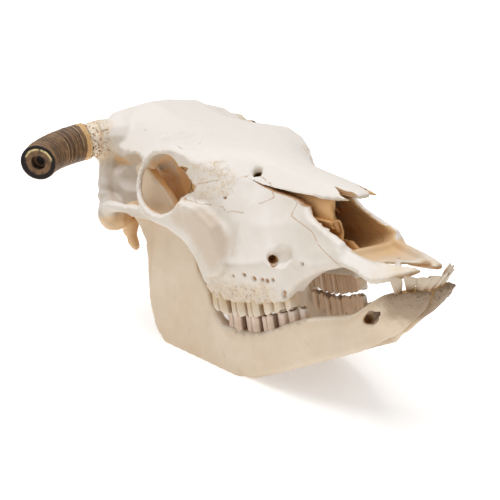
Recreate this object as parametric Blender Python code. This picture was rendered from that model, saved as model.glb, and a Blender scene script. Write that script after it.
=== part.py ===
# A cow skull with its lower jaw and the cut stubs of its horns, life size, as it lies on a flat surface.
# The skull frame that the sizes below use is in millimetres: x runs to the animal's left, y runs from the
# front of the upper jaw to the back of the head, and z runs up from the grinding plane of the cheek teeth.
# An empty tips that frame snout up, so that both halves of the lower jaw lie along their lower borders.
import math

import bmesh
import bpy
import numpy as np
from mathutils import Matrix, Vector

MM = 0.001
GAP = 0.3

# How the skull lies: the snout's lift in degrees, and how far the surface is below the skull frame's origin.
SNOUT_LIFT = 16.56
FLOOR_DROP = 153.5
# The back of this skull is skewed: it turns by this many degrees between the orbits and the poll.
SKEW = 5.0
SKEW_START, SKEW_END, SKEW_HEIGHT = 300.0, 450.0, 130.0

# Profiles along the upper skull, as (y, value).
ROOF_TOP = ((80, 102), (116, 114), (186, 136), (233, 157), (323, 187), (400, 209), (452, 229), (476, 228))
ROOF_WIDTH = ((80, 17), (140, 27), (190, 31), (225, 42), (262, 66), (290, 79), (322, 87), (352, 92),
              (385, 85), (420, 83), (450, 88), (476, 84))
ROOF_EDGE = ((80, 99), (140, 108), (193, 119), (225, 130), (262, 150), (290, 163), (322, 171), (352, 164),
             (385, 167), (420, 170), (450, 182), (476, 200))
FACE_WIDTH = ((80, 42), (110, 45), (140, 49), (168, 58), (200, 72), (228, 83), (250, 87), (275, 87),
              (300, 84))
FACE_WIDEST_AT = ((80, 46), (140, 45), (168, 43), (200, 41), (228, 42), (250, 52), (275, 66), (300, 84))
TOOTH_WALL = ((80, 42), (109, 45), (132, 49), (155, 52), (200, 60), (250, 70), (300, 74))
TOOTH_EDGE = ((80, 35), (109, 31.5), (132, 25.5), (146, 20), (158, 13), (166, 5), (172, 2), (200, 2), (250, 4),
              (284, 10), (300, 34))
PALATE_WIDTH = ((80, 34), (140, 29), (200, 33), (300, 46))
PALATE_HEIGHT = ((80, 42), (132, 36), (200, 33), (300, 38))

# The braincase and the base of the skull.
BRAIN_WIDTH = ((278, 44), (330, 48), (380, 54), (420, 64), (450, 84), (472, 80))
BRAIN_FLOOR = ((278, 84), (330, 86), (400, 84), (450, 84), (472, 92))
BASE, BASE_RADII = ((0, 296, 78), (0, 400, 78), (0, 470, 80)), (17, 17, 20)
PTERYGOID = ((276, 36), (296, 30), (318, 34), (340, 52), (356, 70), (366, 92), (276, 92))
PTERYGOID_INNER, PTERYGOID_OUTER = 21.0, 28.0
CONDYLE = ((16, 486, 84), (23, 482, 94), (30, 478, 112)), (12, 15.5, 12)
SPINAL_CANAL, SPINAL_CANAL_RADII = ((0, 400, 116), (0, 478, 112), (0, 505, 108)), (14, 18, 18)
MASTOID, MASTOID_SIZE = (88, 454, 98), (21, 13, 21)
EAR_TUBE, EAR_TUBE_RADII = ((80, 446, 92), (101, 452, 87)), (9, 7)
EAR_HOLE, EAR_HOLE_RADIUS = ((110, 455, 86), (82, 446, 90)), 3.5
PARACONDYLAR, PARACONDYLAR_RADII = ((62, 462, 92), (64, 464, 72), (61, 456, 53)), (12, 9, 4.5)
BULLA, BULLA_SIZE = (44, 436, 72), (14, 19, 16)
GLENOID, GLENOID_SIZE = (78, 413, 126), (27, 17, 9)
ARCH, ARCH_RADII = ((97, 366, 104), (102, 395, 106), (105, 420, 108), (100, 442, 104)), (5.5, 5, 6.5, 10)
FOSSA, FOSSA_SIZE, FOSSA_TURN = (79, 402, 140), (22, 46, 27), -4.0

# The back of the head: the poll between the horns, the crest that runs down to the ear, and the knob between.
POLL, POLL_RADII = ((-74, 459, 197), (0, 461, 208), (74, 459, 197)), (21, 24, 21)
NUCHAL_CREST = ((70, 462, 186), (84, 461, 166), (91, 462, 140), (95, 460, 118), (92, 456, 100))
NUCHAL_CREST_RADII = (14, 11, 9, 10, 11)
NUCHAL_KNOB, NUCHAL_KNOB_SIZE = (0, 470, 160), (17, 13, 15)
NUCHAL_LINE, NUCHAL_LINE_RADII = ((0, 472, 164), (40, 470, 160), (80, 461, 138)), (8, 6, 7)
HORN_STEM = ((40, 440, 178), (66, 452, 186), (90, 461, 187), (118, 465, 185))
HORN_STEM_RADII = (16, 26, 23, 20)

# The cheek plate under the eye, as a side view (y, z), and how it flares out towards the back.
CHEEK = ((222, 44), (236, 86), (262, 108), (290, 116), (304, 104), (330, 98), (352, 108), (386, 112),
         (386, 97), (348, 95), (317, 86), (290, 71), (277, 57), (270, 42), (264, 30), (240, 32))
CHEEK_START, CHEEK_FLARE = (228, 84), 0.115
CHEEK_INNER, CHEEK_OUTER = -9.0, 3.0

# The orbits: middle of the ring, its half length and half height, the ring's own thickness.
ORBIT = (86, 325, 135)
ORBIT_SIZE = (31.5, 33.5)
# Radius of the ring from the back of the eye over the top to the front and round below.
ORBIT_RING = (4.2, 4.2, 4.6, 5.2, 5.8, 6.2, 6.2, 6.2, 5.8, 5.4, 5.0, 4.4)
ORBIT_FLARE, ORBIT_LEAN = 0.36, -0.22
EYE_DEPTH, EYE_TURN = 52.0, -20.0
EYE_BACK, EYE_BACK_SIZE = (66, 352, 134), (14, 34, 26)

# The front of the upper jaw: inner and outer edge of each premaxilla.
PREMAX_INNER_X = ((0, 5), (20, 17), (40, 24), (66, 26), (103, 27), (132, 27), (156, 30))
PREMAX_INNER_Z = ((0, 30), (20, 36), (40, 41), (66, 48), (103, 66), (132, 80), (156, 90))
PREMAX_OUTER_X = ((0, 14), (12, 28), (39, 40), (61, 39), (85, 42), (109, 46), (156, 50))
PREMAX_OUTER_Z = ((0, 27), (12, 23), (39, 20), (61, 30), (85, 37), (109, 33), (156, 40))
PREMAX_THICK = 7.0
PREMAX_END = 158.0
# The shelf between the premaxillae: its inner edge and height, its thickness, and the slit (x, y) through it.
SHELF_INNER = ((20, 15), (28, 6), (36, 0.5), (130, 0.5))
SHELF_HEIGHT = ((20, 31), (60, 36), (118, 42), (130, 44))
SHELF_THICK, SHELF_OUTER, SHELF_RISE = 4.6, 3.0, 2.0
FISSURE, FISSURE_HEIGHTS = ((6, 42), (9, 36), (12, 42), (11.5, 52), (8.5, 56), (6, 51)), (15, 60)
# The opening of the nose as a side view (y, z), and the passages inside it.
APERTURE_INNER = 6.0
APERTURE = ((40, 56), (66, 53), (103, 69), (129, 83), (137, 93), (136, 102), (126, 101), (91, 96), (40, 90))
NOSE_WALL, NOSE_START, NOSE_END = 7.0, 76.0, 244.0
THROAT, THROAT_RADII = ((0, 215, 62), (0, 270, 62), (0, 350, 64)), (19, 17, 16)
INFRAORBITAL, INFRAORBITAL_RADII = ((50, 150, 50), (56, 172, 45), (44, 200, 48)), (7, 6, 5)
TURBINATE_START = {"right": 112.0, "left": 168.0}
TURBINATE_END, TURBINATE_THICK = 236.0, 2.6
# The turbinate's section from its root in the wall: distance from the middle, depth below the roof's edge.
TURBINATE_HOOK = ((23, 27), (12, 27), (9, 40), (14, 52), (20, 47))
TURBINATE_ROOTS, TURBINATE_ROOT_DEPTH = (19, 30), 34
VOMER, VOMER_THICK = ((100, 44), (236, 37), (236, 66), (170, 62), (112, 54)), 3.2

# The lower jaw: inner and outer face, upper and lower border of the body.
JAW_INNER = ((-10, 0), (62, 0), (80, 6), (100, 16), (140, 27), (200, 40), (265, 48), (300, 56))
JAW_OUTER = ((-10, 24), (8, 34), (25, 32), (48, 27), (70, 29), (100, 34), (140, 45), (200, 58), (265, 66),
             (300, 71))
JAW_TOP = ((-10, 9), (8, 9), (28, 8), (46, 5), (71, -5), (95, -15), (146, -17), (182, -24), (209, -31),
           (231, -33), (259, -30), (288, -22), (300, -12))
JAW_KEEL = ((-10, 0.6), (10, 0.5), (28, 0.4), (62, 0.5), (97, 0.85), (140, 1.0))
JAW_BOTTOM = ((-10, 9), (8, -13), (28, -24), (45, -35), (62, -41), (97, -54), (149, -65), (195, -75),
              (226, -81), (255, -85.5), (291, -78), (300, -75))
RAMUS = ((262, -64), (274, -34), (284, -20), (293, -4), (295, 12), (301, 24), (307, 36), (308, 60),
         (319, 88), (346, 126), (372, 152), (384, 159), (396, 152), (391, 132), (387, 112), (396, 105),
         (410, 104), (408, 95), (397, 84), (389, 66), (392, 40), (400, 14), (402, -5), (398, -28),
         (387, -46), (366, -56), (325, -68), (291, -78), (264, -83))
RAMUS_THICK = 11.0
JAW_START = -4.0
RAMUS_START, RAMUS_FLARE, RAMUS_LEAN = (300, 66), 0.17, -0.02
JAW_CONDYLE, JAW_CONDYLE_SIZE = (79, 407, 106), (18, 9, 7)
JAW_BLOCK = ((-60, -120), (460, -120), (460, 220), (-60, 220))
GROUND_REACH = (120, 470)
MENTAL_HOLE, MENTAL_HOLE_RADII = ((48, 50, -14), (26, 68, -18), (20, 82, -20)), (6.5, 6, 3)

# Cheek teeth, from the first premolar to the last molar, and the eight incisors of the lower jaw.
TOOTH_LENGTHS = (12, 14, 15, 24, 28, 30)
UPPER_ROW_START, LOWER_ROW_START = 165.0, 156.0
UPPER_ROW_X, LOWER_ROW_X = (44, 63), (36.5, 56)
UPPER_TOOTH_WIDTHS, LOWER_TOOTH_WIDTHS = (15, 21), (9, 14)
UPPER_GUM = 19.0
LOWER_GUM_BELOW_TOP = 8.0
BITE_GAP = 0.7
GRINDING_LINE = ((143, -8), (160, -6), (180, -9), (215, -13.5), (245, -13), (270, -9), (288, -4))
INCISOR_TIPS = ((6.9, -18, 22), (17, -14, 23), (26, -6, 24.5), (33, 7, 25.5))
INCISOR_ROOTS = ((5.2, 1, 8), (11.5, 3, 9), (18.5, 8, 9.5), (26, 16, 10))
INCISOR_WIDTH, INCISOR_THICK = 12.6, 4.6

# Horns: where the sheath starts, its radii at the base and at the cut end, its length and how far it bends.
HORN_BASE = {"right": (113, 464.5, 185.5), "left": (110, 465, 180)}
HORN_LENGTH, HORN_BEND = 88.0, 50.0
HORN_RADIUS, HORN_END_RADIUS = 21.8, 20.2
SHEATH_WALL, SHEATH_END_WALL = 5.0, 12.0
HORN_STEPS, CORE_STEPS = 6, 5
# For the right and the left horn: how far it droops, and which way it bends, from forward towards down.
HORN_DROOP = {"right": 10.0, "left": 24.0}
HORN_ROLL = {"right": 14.0, "left": 82.0}
STEM_END, STEM_RADII = 100.0, (20.0, 20.5, 19.5)
CORE_BLOCK = ((380, 60), (560, 60), (560, 320), (380, 320))
STEM_BLOCK = ((430, 138), (560, 138), (560, 280), (430, 280))

# Sutures, as the outlines of each bone's territory: side views are (y, z), and the top view is (x, y).
NASAL_WIDTH = ((60, 15), (93, 20.5), (140, 27), (190, 31), (214, 33), (232, 26), (262, 0.8))
NASAL_SPLIT = 1.6
NASAL_DEPTH = 21.0
ABOVE_ALL = 260.0
ZYGOMATIC = ((218, 96), (226, 76), (246, 56), (262, 43), (280, 37), (310, 40), (383, 60), (381, 128),
             (366, 143), (340, 139), (304, 122), (294, 118))
LACRIMAL = ((186, 107), (207, 101), (218, 95), (294, 110), (312, 118), (306, 131), (276, 130), (240, 131.5),
            (233, 129), (216, 134), (200, 124))
FRONTAL = ((214, 260), (214, 133), (233, 129), (240, 131), (276, 129.5), (306, 130), (340, 138), (366, 142),
           (400, 144), (440, 146), (520, 148), (520, 260))
NASAL_NOTCH = ((5.5, 70), (17, 70), (17, 88), (12.3, 112), (8, 90))
NASAL_CORNER = ((17.4, 70), (40, 70), (40, 94), (21, 94), (17.4, 88))
NASAL_NOTCH_HEIGHTS = (80, 140)
TRIANGULAR_HOLE = ((-27, 214), (-30, 210), (-37, 221), (-34, 228))
TRIANGULAR_HOLE_HEIGHTS = (108, 160)
FAR_SIDE = 160.0
FRONT_BLOCK = ((-40, -40), (320, -40), (320, 240), (-40, 240))
PREMAXILLA = ((-30, 0), (62, 0), (70, 22), (82, 40), (111, 57), (124, 71), (156, 87), (150, 100), (60, 100),
              (-30, 60))
BRAINCASE = ((290, -10), (290, 62), (276, 80), (276, 220), (520, 220), (520, -10))

SKULL_TRIANGLES = 5400
JAW_TRIANGLES = 1150

COLOURS = {
    "bone": (0.78, 0.70, 0.58),
    "jaw_bone": (0.76, 0.66, 0.53),
    "thin_bone": (0.60, 0.40, 0.24),
    "core": (0.62, 0.48, 0.32),
    "horn": (0.060, 0.038, 0.022),
}
ROUGHNESS = {"bone": 0.55, "jaw_bone": 0.5, "thin_bone": 0.7, "core": 0.8, "horn": 0.6}


# Profiles and plain shapes. A shape is a list of points in millimetres and a list of faces.
def value(profile, y):
    """Smooth value of a profile at y, with flat ends and no overshoot."""
    ys = np.array([p[0] for p in profile], float)
    vs = np.array([p[1] for p in profile], float)
    y = min(max(y, ys[0]), ys[-1])
    i = min(int(np.searchsorted(ys, y, side="right")) - 1, len(ys) - 2)
    steps = np.diff(vs) / np.diff(ys)

    def slope(k):
        if k == 0 or k == len(ys) - 1:
            return steps[0] if k == 0 else steps[-1]
        before, after = steps[k - 1], steps[k]
        return 0.0 if before * after <= 0 else 2 * before * after / (before + after)

    width = ys[i + 1] - ys[i]
    t = (y - ys[i]) / width
    rise = vs[i] * (1 - t) ** 2 * (1 + 2 * t) + vs[i + 1] * t * t * (3 - 2 * t)
    return float(rise + width * t * (1 - t) * (slope(i) * (1 - t) - slope(i + 1) * t))


def loft(rings):
    """Skin over closed rings that have the same number of points, with both ends capped."""
    count = len(rings[0])
    points = [point for ring in rings for point in ring]
    faces = []
    for r in range(len(rings) - 1):
        for i in range(count):
            j = (i + 1) % count
            faces.append((r * count + i, r * count + j, (r + 1) * count + j, (r + 1) * count + i))
    faces.append(tuple(range(count)))
    faces.append(tuple((len(rings) - 1) * count + i for i in range(count)))
    return points, faces


def mirrored_ring(y, half):
    """A closed ring across the skull from its half outline, given as (x, z) from top to bottom."""
    other = [(-x, z) for x, z in reversed(half) if x > 0]
    return [(x, y, z) for x, z in list(half) + other]


def ball(middle, size, turn=0.0, segments=20):
    """Ellipsoid with half axes in size, turned in degrees about z."""
    c, s = math.cos(math.radians(turn)), math.sin(math.radians(turn))
    rings = []
    for i in range(1, segments // 2):
        lat = math.pi * i / (segments // 2)
        ring = []
        for k in range(segments):
            lon = 2 * math.pi * k / segments
            px, py = size[0] * math.sin(lat) * math.cos(lon), size[1] * math.sin(lat) * math.sin(lon)
            ring.append((middle[0] + c * px - s * py, middle[1] + s * px + c * py,
                         middle[2] + size[2] * math.cos(lat)))
        rings.append(ring)
    return loft(rings)


def spline(points, per_span=4, closed=False):
    """Points along a smooth curve through the given points."""
    pts = [Vector(p) for p in points]
    last = len(pts) if closed else len(pts) - 1
    found = []
    for i in range(last):
        if closed:
            a, b, c, d = (pts[(i + k) % len(pts)] for k in (-1, 0, 1, 2))
        else:
            a, b, c, d = pts[max(i - 1, 0)], pts[i], pts[i + 1], pts[min(i + 2, len(pts) - 1)]
        for k in range(per_span):
            t = k / per_span
            found.append(0.5 * ((2 * b) + (c - a) * t + (2 * a - 5 * b + 4 * c - d) * t * t
                                + (3 * b - a - 3 * c + d) * t ** 3))
    if not closed:
        found.append(pts[-1])
    return found


def rod(path, radii, sides=12, flat=1.0, closed=False):
    """Round or flattened bar along a path; flat is its height against its width."""
    line = spline(path, closed=closed)
    count = len(line)
    rings = []
    for i, point in enumerate(line):
        before = line[(i - 1) % count] if closed or i > 0 else line[i]
        after = line[(i + 1) % count] if closed or i < count - 1 else line[i]
        along = (after - before).normalized()
        side = along.cross(Vector((0, 0, 1)))
        side = side.normalized() if side.length > 0.2 else along.cross(Vector((0, 1, 0))).normalized()
        up = side.cross(along)
        place = i / (count - 1)
        radius = float(np.interp(place, np.linspace(0, 1, len(radii)), radii))
        ring = []
        for k in range(sides):
            a = 2 * math.pi * k / sides
            ring.append(tuple(point + side * (radius * math.cos(a)) + up * (radius * flat * math.sin(a))))
        rings.append(ring)
    return sleeve(rings) if closed else loft(rings)


def plate(outline, inner, outer):
    """Side-view outline (y, z) with its inner and outer x given as functions of y and z."""
    rings = [[(face(y, z), y, z) for y, z in outline] for face in (inner, outer)]
    return loft(rings)


def shaft(outline, low, high):
    """Top-view outline (x, y) between two heights."""
    return loft([[(x, y, z) for x, y in outline] for z in (low, high)])


def sleeve(rings):
    """Skin over a row of rings that runs out along the outside and back along a hole."""
    count, total = len(rings[0]), len(rings[0]) * len(rings)
    points, faces = loft(rings + rings[:1])
    return points[:total], [tuple(v % total for v in face) for face in faces[:-2]]


def mirrored(shape):
    points, faces = shape
    return [(-x, y, z) for x, y, z in points], [tuple(reversed(face)) for face in faces]


def both(*shapes):
    """The shapes on the animal's left and their mirror images on its right."""
    return list(shapes) + [mirrored(shape) for shape in shapes]


# Objects, modifiers and cuts.
def make(name, shapes):
    """One object from shapes in millimetres, its faces pointing out."""
    mesh = bpy.data.meshes.new(name)
    bm = bmesh.new()
    for points, faces in shapes:
        verts = [bm.verts.new([c * MM for c in point]) for point in points]
        for face in faces:
            bm.faces.new([verts[i] for i in face])
    bmesh.ops.recalc_face_normals(bm, faces=bm.faces)
    bm.to_mesh(mesh)
    bm.free()
    found = bpy.data.objects.new(name, mesh)
    bpy.context.scene.collection.objects.link(found)
    return found


def change(item, kind, **settings):
    """Add one modifier to the object and keep its result as the object's mesh."""
    modifier = item.modifiers.new(kind.lower(), kind)
    for key, setting in settings.items():
        setattr(modifier, key, setting)
    evaluated = item.evaluated_get(bpy.context.evaluated_depsgraph_get())
    mesh = bpy.data.meshes.new_from_object(evaluated)
    item.modifiers.clear()
    item.data = mesh
    return item


def melt(item, grain, relax):
    """Melt overlapping bodies into one skin and soften it, as bone has no sharp inner corners."""
    change(item, "REMESH", mode="VOXEL", voxel_size=grain * MM)
    return change(item, "SMOOTH", factor=0.5, iterations=relax)


def thin_out(item, triangles):
    change(item, "TRIANGULATE")
    return change(item, "DECIMATE", ratio=min(1.0, triangles / len(item.data.polygons)))


def cut(item, shapes, operation="DIFFERENCE"):
    for shape in shapes:
        tool = make("tool", [shape])
        change(item, "BOOLEAN", object=tool, operation=operation, solver="EXACT")
        bpy.data.objects.remove(tool)
    return item


def join(item, shapes):
    """Fuse closed shapes into the object in one union."""
    group = bpy.data.collections.new("joined")
    bpy.context.scene.collection.children.link(group)
    for shape in shapes:
        piece = make("piece", [shape])
        bpy.context.scene.collection.objects.unlink(piece)
        group.objects.link(piece)
    change(item, "BOOLEAN", operand_type="COLLECTION", collection=group, operation="UNION", solver="EXACT")
    for piece in list(group.objects):
        bpy.data.objects.remove(piece)
    bpy.data.collections.remove(group)
    return item


def largest_only(item):
    """Keep the largest closed surface, welded and cut into triangles."""
    bm = bmesh.new()
    bm.from_mesh(item.data)
    bmesh.ops.remove_doubles(bm, verts=bm.verts, dist=0.02 * MM)
    bmesh.ops.triangulate(bm, faces=bm.faces)
    bmesh.ops.dissolve_degenerate(bm, edges=bm.edges, dist=0.02 * MM)
    bmesh.ops.triangulate(bm, faces=bm.faces)
    left = set(bm.faces)
    groups = []
    while left:
        start = left.pop()
        group, stack = [start], [start]
        while stack:
            for edge in stack.pop().edges:
                for face in edge.link_faces if len(edge.link_faces) == 2 else ():
                    if face in left:
                        left.remove(face)
                        group.append(face)
                        stack.append(face)
        groups.append(group)
    keep = set(max(groups, key=lambda group: sum(face.calc_area() for face in group)))
    bmesh.ops.delete(bm, geom=[face for face in bm.faces if face not in keep], context="FACES")
    bm.to_mesh(item.data)
    bm.free()
    return item


def copy_of(item, name):
    twin = item.copy()
    twin.data = item.data.copy()
    twin.name = name
    bpy.context.scene.collection.objects.link(twin)
    return twin


def take(rest, name, knife):
    """Part one bone off the rest; knife gives its territory, grown by the gap for the rest's side."""
    bone = copy_of(rest, name)
    cut(bone, [knife(0.0)], "INTERSECT")
    cut(rest, [knife(GAP)])
    return largest_only(bone)


def skew(item):
    """Turn the back of the skull a little about its length."""
    for vertex in item.data.vertices:
        x, y, z = (c / MM for c in vertex.co)
        t = min(max((y - SKEW_START) / (SKEW_END - SKEW_START), 0.0), 1.0)
        h = min(max((z + 10.0) / 80.0, 0.0), 1.0)
        angle = math.radians(SKEW) * t * t * (3 - 2 * t) * h * h * (3 - 2 * h)
        c, s = math.cos(angle), math.sin(angle)
        rise = z - SKEW_HEIGHT
        vertex.co = Vector((x * c + rise * s, y, rise * c - x * s + SKEW_HEIGHT)) * MM
    return item


# The upper skull as one solid, before its sutures part it.
def face_ring(y, inset=0.0):
    """Section of the face across the skull; inset draws it in to leave a wall round the nasal cavity."""
    top, edge = value(ROOF_TOP, y), value(ROOF_EDGE, y)
    roof, wide, at = value(ROOF_WIDTH, y), value(FACE_WIDTH, y), value(FACE_WIDEST_AT, y)
    wall, gum = value(TOOTH_WALL, y), value(TOOTH_EDGE, y)
    palate, vault = value(PALATE_WIDTH, y), value(PALATE_HEIGHT, y)
    if inset:
        floor = vault + inset
        side = min(wide - 12.0, palate + 6.0)
        return mirrored_ring(y, [(0, top - inset), (0.6 * roof, 0.8 * top + 0.2 * edge - inset),
                                 (roof - 0.8 * inset, edge - inset), (0.5 * (roof + side), 0.5 * (edge + at)),
                                 (side, max(at, floor + 8)), (0.8 * side, floor), (0, floor)])
    return mirrored_ring(y, [(0, top), (0.55 * roof, 0.85 * top + 0.15 * edge), (roof, edge),
                             (0.45 * roof + 0.55 * wide, 0.5 * (edge + at)), (wide, at),
                             (0.5 * (wide + wall) - 1, 0.5 * (at + gum)), (wall, gum), (palate, gum),
                             (palate - 5, vault), (0, vault)])


def roof_ring(y):
    top, edge, roof = value(ROOF_TOP, y), value(ROOF_EDGE, y), value(ROOF_WIDTH, y)
    return mirrored_ring(y, [(0, top), (0.35 * roof, top - 1), (0.7 * roof, 0.65 * top + 0.35 * edge),
                             (roof, edge), (roof - 2, edge - 9), (roof - 24, edge - 24), (0, top - 48)])


def brain_ring(y):
    wide, floor, top = value(BRAIN_WIDTH, y), value(BRAIN_FLOOR, y), value(ROOF_EDGE, y)
    return mirrored_ring(y, [(0, top), (0.72 * wide, top - 8), (wide, 0.6 * top + 0.4 * floor),
                             (0.97 * wide, 0.25 * top + 0.75 * floor), (0.5 * wide, floor), (0, floor)])


def orbit_path(grow):
    """Middle line of the orbit's ring, grown beyond the opening by the given amount."""
    x, y, z = ORBIT
    found = []
    for k in range(12):
        a = 2 * math.pi * k / 12
        dy, dz = (ORBIT_SIZE[0] + grow) * math.cos(a), (ORBIT_SIZE[1] + grow) * math.sin(a)
        found.append((x + ORBIT_FLARE * dy + ORBIT_LEAN * dz, y + dy, z + dz))
    return found


def premaxilla():
    rings = []
    for y in np.linspace(0, 156, 22):
        xi, zi = value(PREMAX_INNER_X, y), value(PREMAX_INNER_Z, y)
        xo, zo = value(PREMAX_OUTER_X, y), value(PREMAX_OUTER_Z, y)
        along = Vector((xo - xi, zo - zi)).normalized()
        nx, nz = -along.y * 0.5 * PREMAX_THICK, along.x * 0.5 * PREMAX_THICK
        rings.append([(xi + nx, y, zi + nz - 3), (xo + nx, y, zo + nz), (xo - nx, y, zo - nz),
                      (xi - nx, y, zi - nz - 3)])
    return loft(rings)


def palate_shelf():
    """Floor of the nose in front, from the premaxilla to the middle."""
    rings = []
    for y in np.linspace(SHELF_INNER[0][0], SHELF_INNER[-1][0], 14):
        xi, zi = value(SHELF_INNER, y), value(SHELF_HEIGHT, y)
        xo, zo = value(PREMAX_OUTER_X, y) - SHELF_OUTER, value(PREMAX_OUTER_Z, y) + SHELF_RISE
        half = 0.5 * SHELF_THICK
        rings.append([(xi, y, zi + half), (xo, y, zo + half), (xo, y, zo - half), (xi, y, zi - half)])
    return loft(rings)


def skull_shapes():
    """Overlapping closed bodies that make up the outside of the upper skull."""
    def cheek_face(offset):
        return lambda y, z: CHEEK_START[1] + CHEEK_FLARE * (y - CHEEK_START[0]) + offset

    shapes = [loft([face_ring(y) for y in np.linspace(80, 300, 23)]),
              loft([roof_ring(y) for y in np.linspace(206, 476, 28)]),
              loft([brain_ring(y) for y in np.linspace(278, 472, 20)]),
              rod(BASE, BASE_RADII, flat=0.6),
              rod(POLL, POLL_RADII, flat=0.96),
              ball(NUCHAL_KNOB, NUCHAL_KNOB_SIZE)]
    shapes += both(plate(CHEEK, cheek_face(CHEEK_INNER), cheek_face(CHEEK_OUTER)),
                   plate(PTERYGOID, lambda y, z: PTERYGOID_INNER, lambda y, z: PTERYGOID_OUTER),
                   rod(orbit_path(ORBIT_RING[0]), ORBIT_RING, closed=True),
                   rod(ARCH, ARCH_RADII, flat=1.1),
                   ball(GLENOID, GLENOID_SIZE),
                   ball(MASTOID, MASTOID_SIZE),
                   rod(EAR_TUBE, EAR_TUBE_RADII),
                   rod(NUCHAL_CREST, NUCHAL_CREST_RADII),
                   rod(NUCHAL_LINE, NUCHAL_LINE_RADII),
                   rod(PARACONDYLAR, PARACONDYLAR_RADII),
                   ball(BULLA, BULLA_SIZE),
                   rod(*CONDYLE, flat=1.15),
                   rod(HORN_STEM, HORN_STEM_RADII),
                   palate_shelf(),
                   premaxilla())
    return shapes


def skull_openings():
    """Closed bodies that are hollowed out of the upper skull."""
    far = 70.0
    return [loft([face_ring(y, inset=NOSE_WALL) for y in np.linspace(NOSE_START, NOSE_END, 18)]),
            rod(THROAT, THROAT_RADII, flat=0.85),
            shaft(TRIANGULAR_HOLE, *TRIANGULAR_HOLE_HEIGHTS),
            rod(SPINAL_CANAL, SPINAL_CANAL_RADII, sides=16)
            ] + both(plate(APERTURE, lambda y, z: APERTURE_INNER, lambda y, z: far),
                     shaft(FISSURE, *FISSURE_HEIGHTS),
                     ball(ORBIT, (EYE_DEPTH, *ORBIT_SIZE), turn=EYE_TURN),
                     ball(EYE_BACK, EYE_BACK_SIZE),
                     ball(FOSSA, FOSSA_SIZE, turn=FOSSA_TURN),
                     rod(INFRAORBITAL, INFRAORBITAL_RADII),
                     rod(EAR_HOLE, (EAR_HOLE_RADIUS, EAR_HOLE_RADIUS)))


def upper_skull():
    whole = melt(make("skull", skull_shapes()), grain=2.4, relax=3)
    cut(whole, skull_openings())
    melt(whole, grain=2.2, relax=4)
    thin_out(whole, SKULL_TRIANGLES)
    beyond = plate(STEM_BLOCK, lambda y, z: STEM_END, lambda y, z: FAR_SIDE)
    cut(whole, both(beyond))
    return skew(whole)


# Sutures.
def grown(outline, gap):
    """The outline moved outwards by the gap."""
    found = []
    turn = sum(a[0] * b[1] - b[0] * a[1] for a, b in zip(outline, outline[1:] + outline[:1]))
    for i, (u, v) in enumerate(outline):
        before, after = Vector(outline[i - 1]), Vector(outline[(i + 1) % len(outline)])
        one = (Vector((u, v)) - before).normalized()
        two = (after - Vector((u, v))).normalized()
        normals = [Vector((d.y, -d.x)) * math.copysign(1, turn) for d in (one, two)]
        middle = (normals[0] + normals[1]).normalized()
        reach = gap / max(middle.dot(normals[0]), 0.4)
        found.append((u + middle.x * reach, v + middle.y * reach))
    return found


def side_territory(outline, low, high):
    """Territory of a bone from its side-view outline, between two values of x."""
    def knife(gap):
        wide = grown(outline, gap)
        return plate(wide, lambda y, z: low - gap, lambda y, z: high + gap)
    return knife


def nasal_territory(side):
    """The roof over the nose on one side of the midline, from the tip to a point between the frontals."""
    def knife(gap):
        spread = NASAL_SPLIT if gap else 0.0
        inner = 0.5 * GAP - gap
        rings = []
        for y in (60, 93, 116, 140, 165, 190, 214, 223, 232, 247, 262 + gap):
            outer = value(NASAL_WIDTH, y) + gap + spread * min(max((236 - y) / 30, 0.0), 1.0)
            low = value(ROOF_TOP, y) - NASAL_DEPTH - gap
            corners = ((inner, low), (outer, low), (outer, ABOVE_ALL), (inner, ABOVE_ALL))
            rings.append([(side * x, y, z) for x, z in corners])
        return loft(rings)
    return knife


def part_bones(whole):
    """Part the upper skull along its sutures."""
    bones = {}
    for name, outline, inner in (("zygomatic", ZYGOMATIC, 66.0), ("lacrimal", LACRIMAL, 32.0),
                                 ("nasal", None, 0.0), ("premaxilla", PREMAXILLA, 0.5 * GAP)):
        for side, sign in (("right", -1), ("left", 1)):
            if outline is None:
                knife = nasal_territory(sign)
            else:
                edges = sorted((sign * inner, sign * FAR_SIDE))
                knife = side_territory(outline, *edges)
            bones[name + "_" + side] = take(whole, name + "_" + side, knife)
        if outline is None:
            for side, flip in (("right", mirrored), ("left", lambda shape: shape)):
                tips = [shaft(outline, *NASAL_NOTCH_HEIGHTS) for outline in (NASAL_NOTCH, NASAL_CORNER)]
                cut(bones["nasal_" + side], [flip(tip) for tip in tips])
                largest_only(bones["nasal_" + side])
    bones["frontal"] = take(whole, "frontal", side_territory(FRONTAL, -FAR_SIDE, FAR_SIDE))
    bones["braincase"] = take(whole, "braincase", side_territory(BRAINCASE, -FAR_SIDE, FAR_SIDE))
    for side, sign in (("right", -1), ("left", 1)):
        half = copy_of(whole, "maxilla_" + side)
        edges = sorted((sign * 0.5 * GAP, sign * FAR_SIDE))
        cut(half, [side_territory(FRONT_BLOCK, *edges)(0.0)], "INTERSECT")
        bones["maxilla_" + side] = largest_only(half)
    bpy.data.objects.remove(whole)
    return bones


# Teeth.
def cheek_tooth(x, start, length, width, lobes, gum, lift):
    """A cheek tooth from inside its socket to its grinding face, pinched in between its lobes."""
    def ring(scale, share):
        found = []
        for k in range(10):
            a = 2 * math.pi * (k + 0.5) / 10
            c, s = math.cos(a), math.sin(a)
            px = math.copysign(abs(c) ** 0.55, c) * 0.5 * width
            py = math.copysign(abs(s) ** 0.7, s) * 0.5 * (length - 0.8)
            pinch = 1.0 - 0.16 * (math.cos(lobes * math.pi * py / length) ** 6 if lobes == 2 else 0.0)
            y = start + 0.5 * length + py * scale
            crown = value(GRINDING_LINE, y) + lift
            found.append((x + px * scale * pinch, y, gum + (crown - gum) * share))
        return found
    return loft([ring(0.8, 0.0), ring(0.97, 0.75), ring(0.94, 1.0)])


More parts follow.
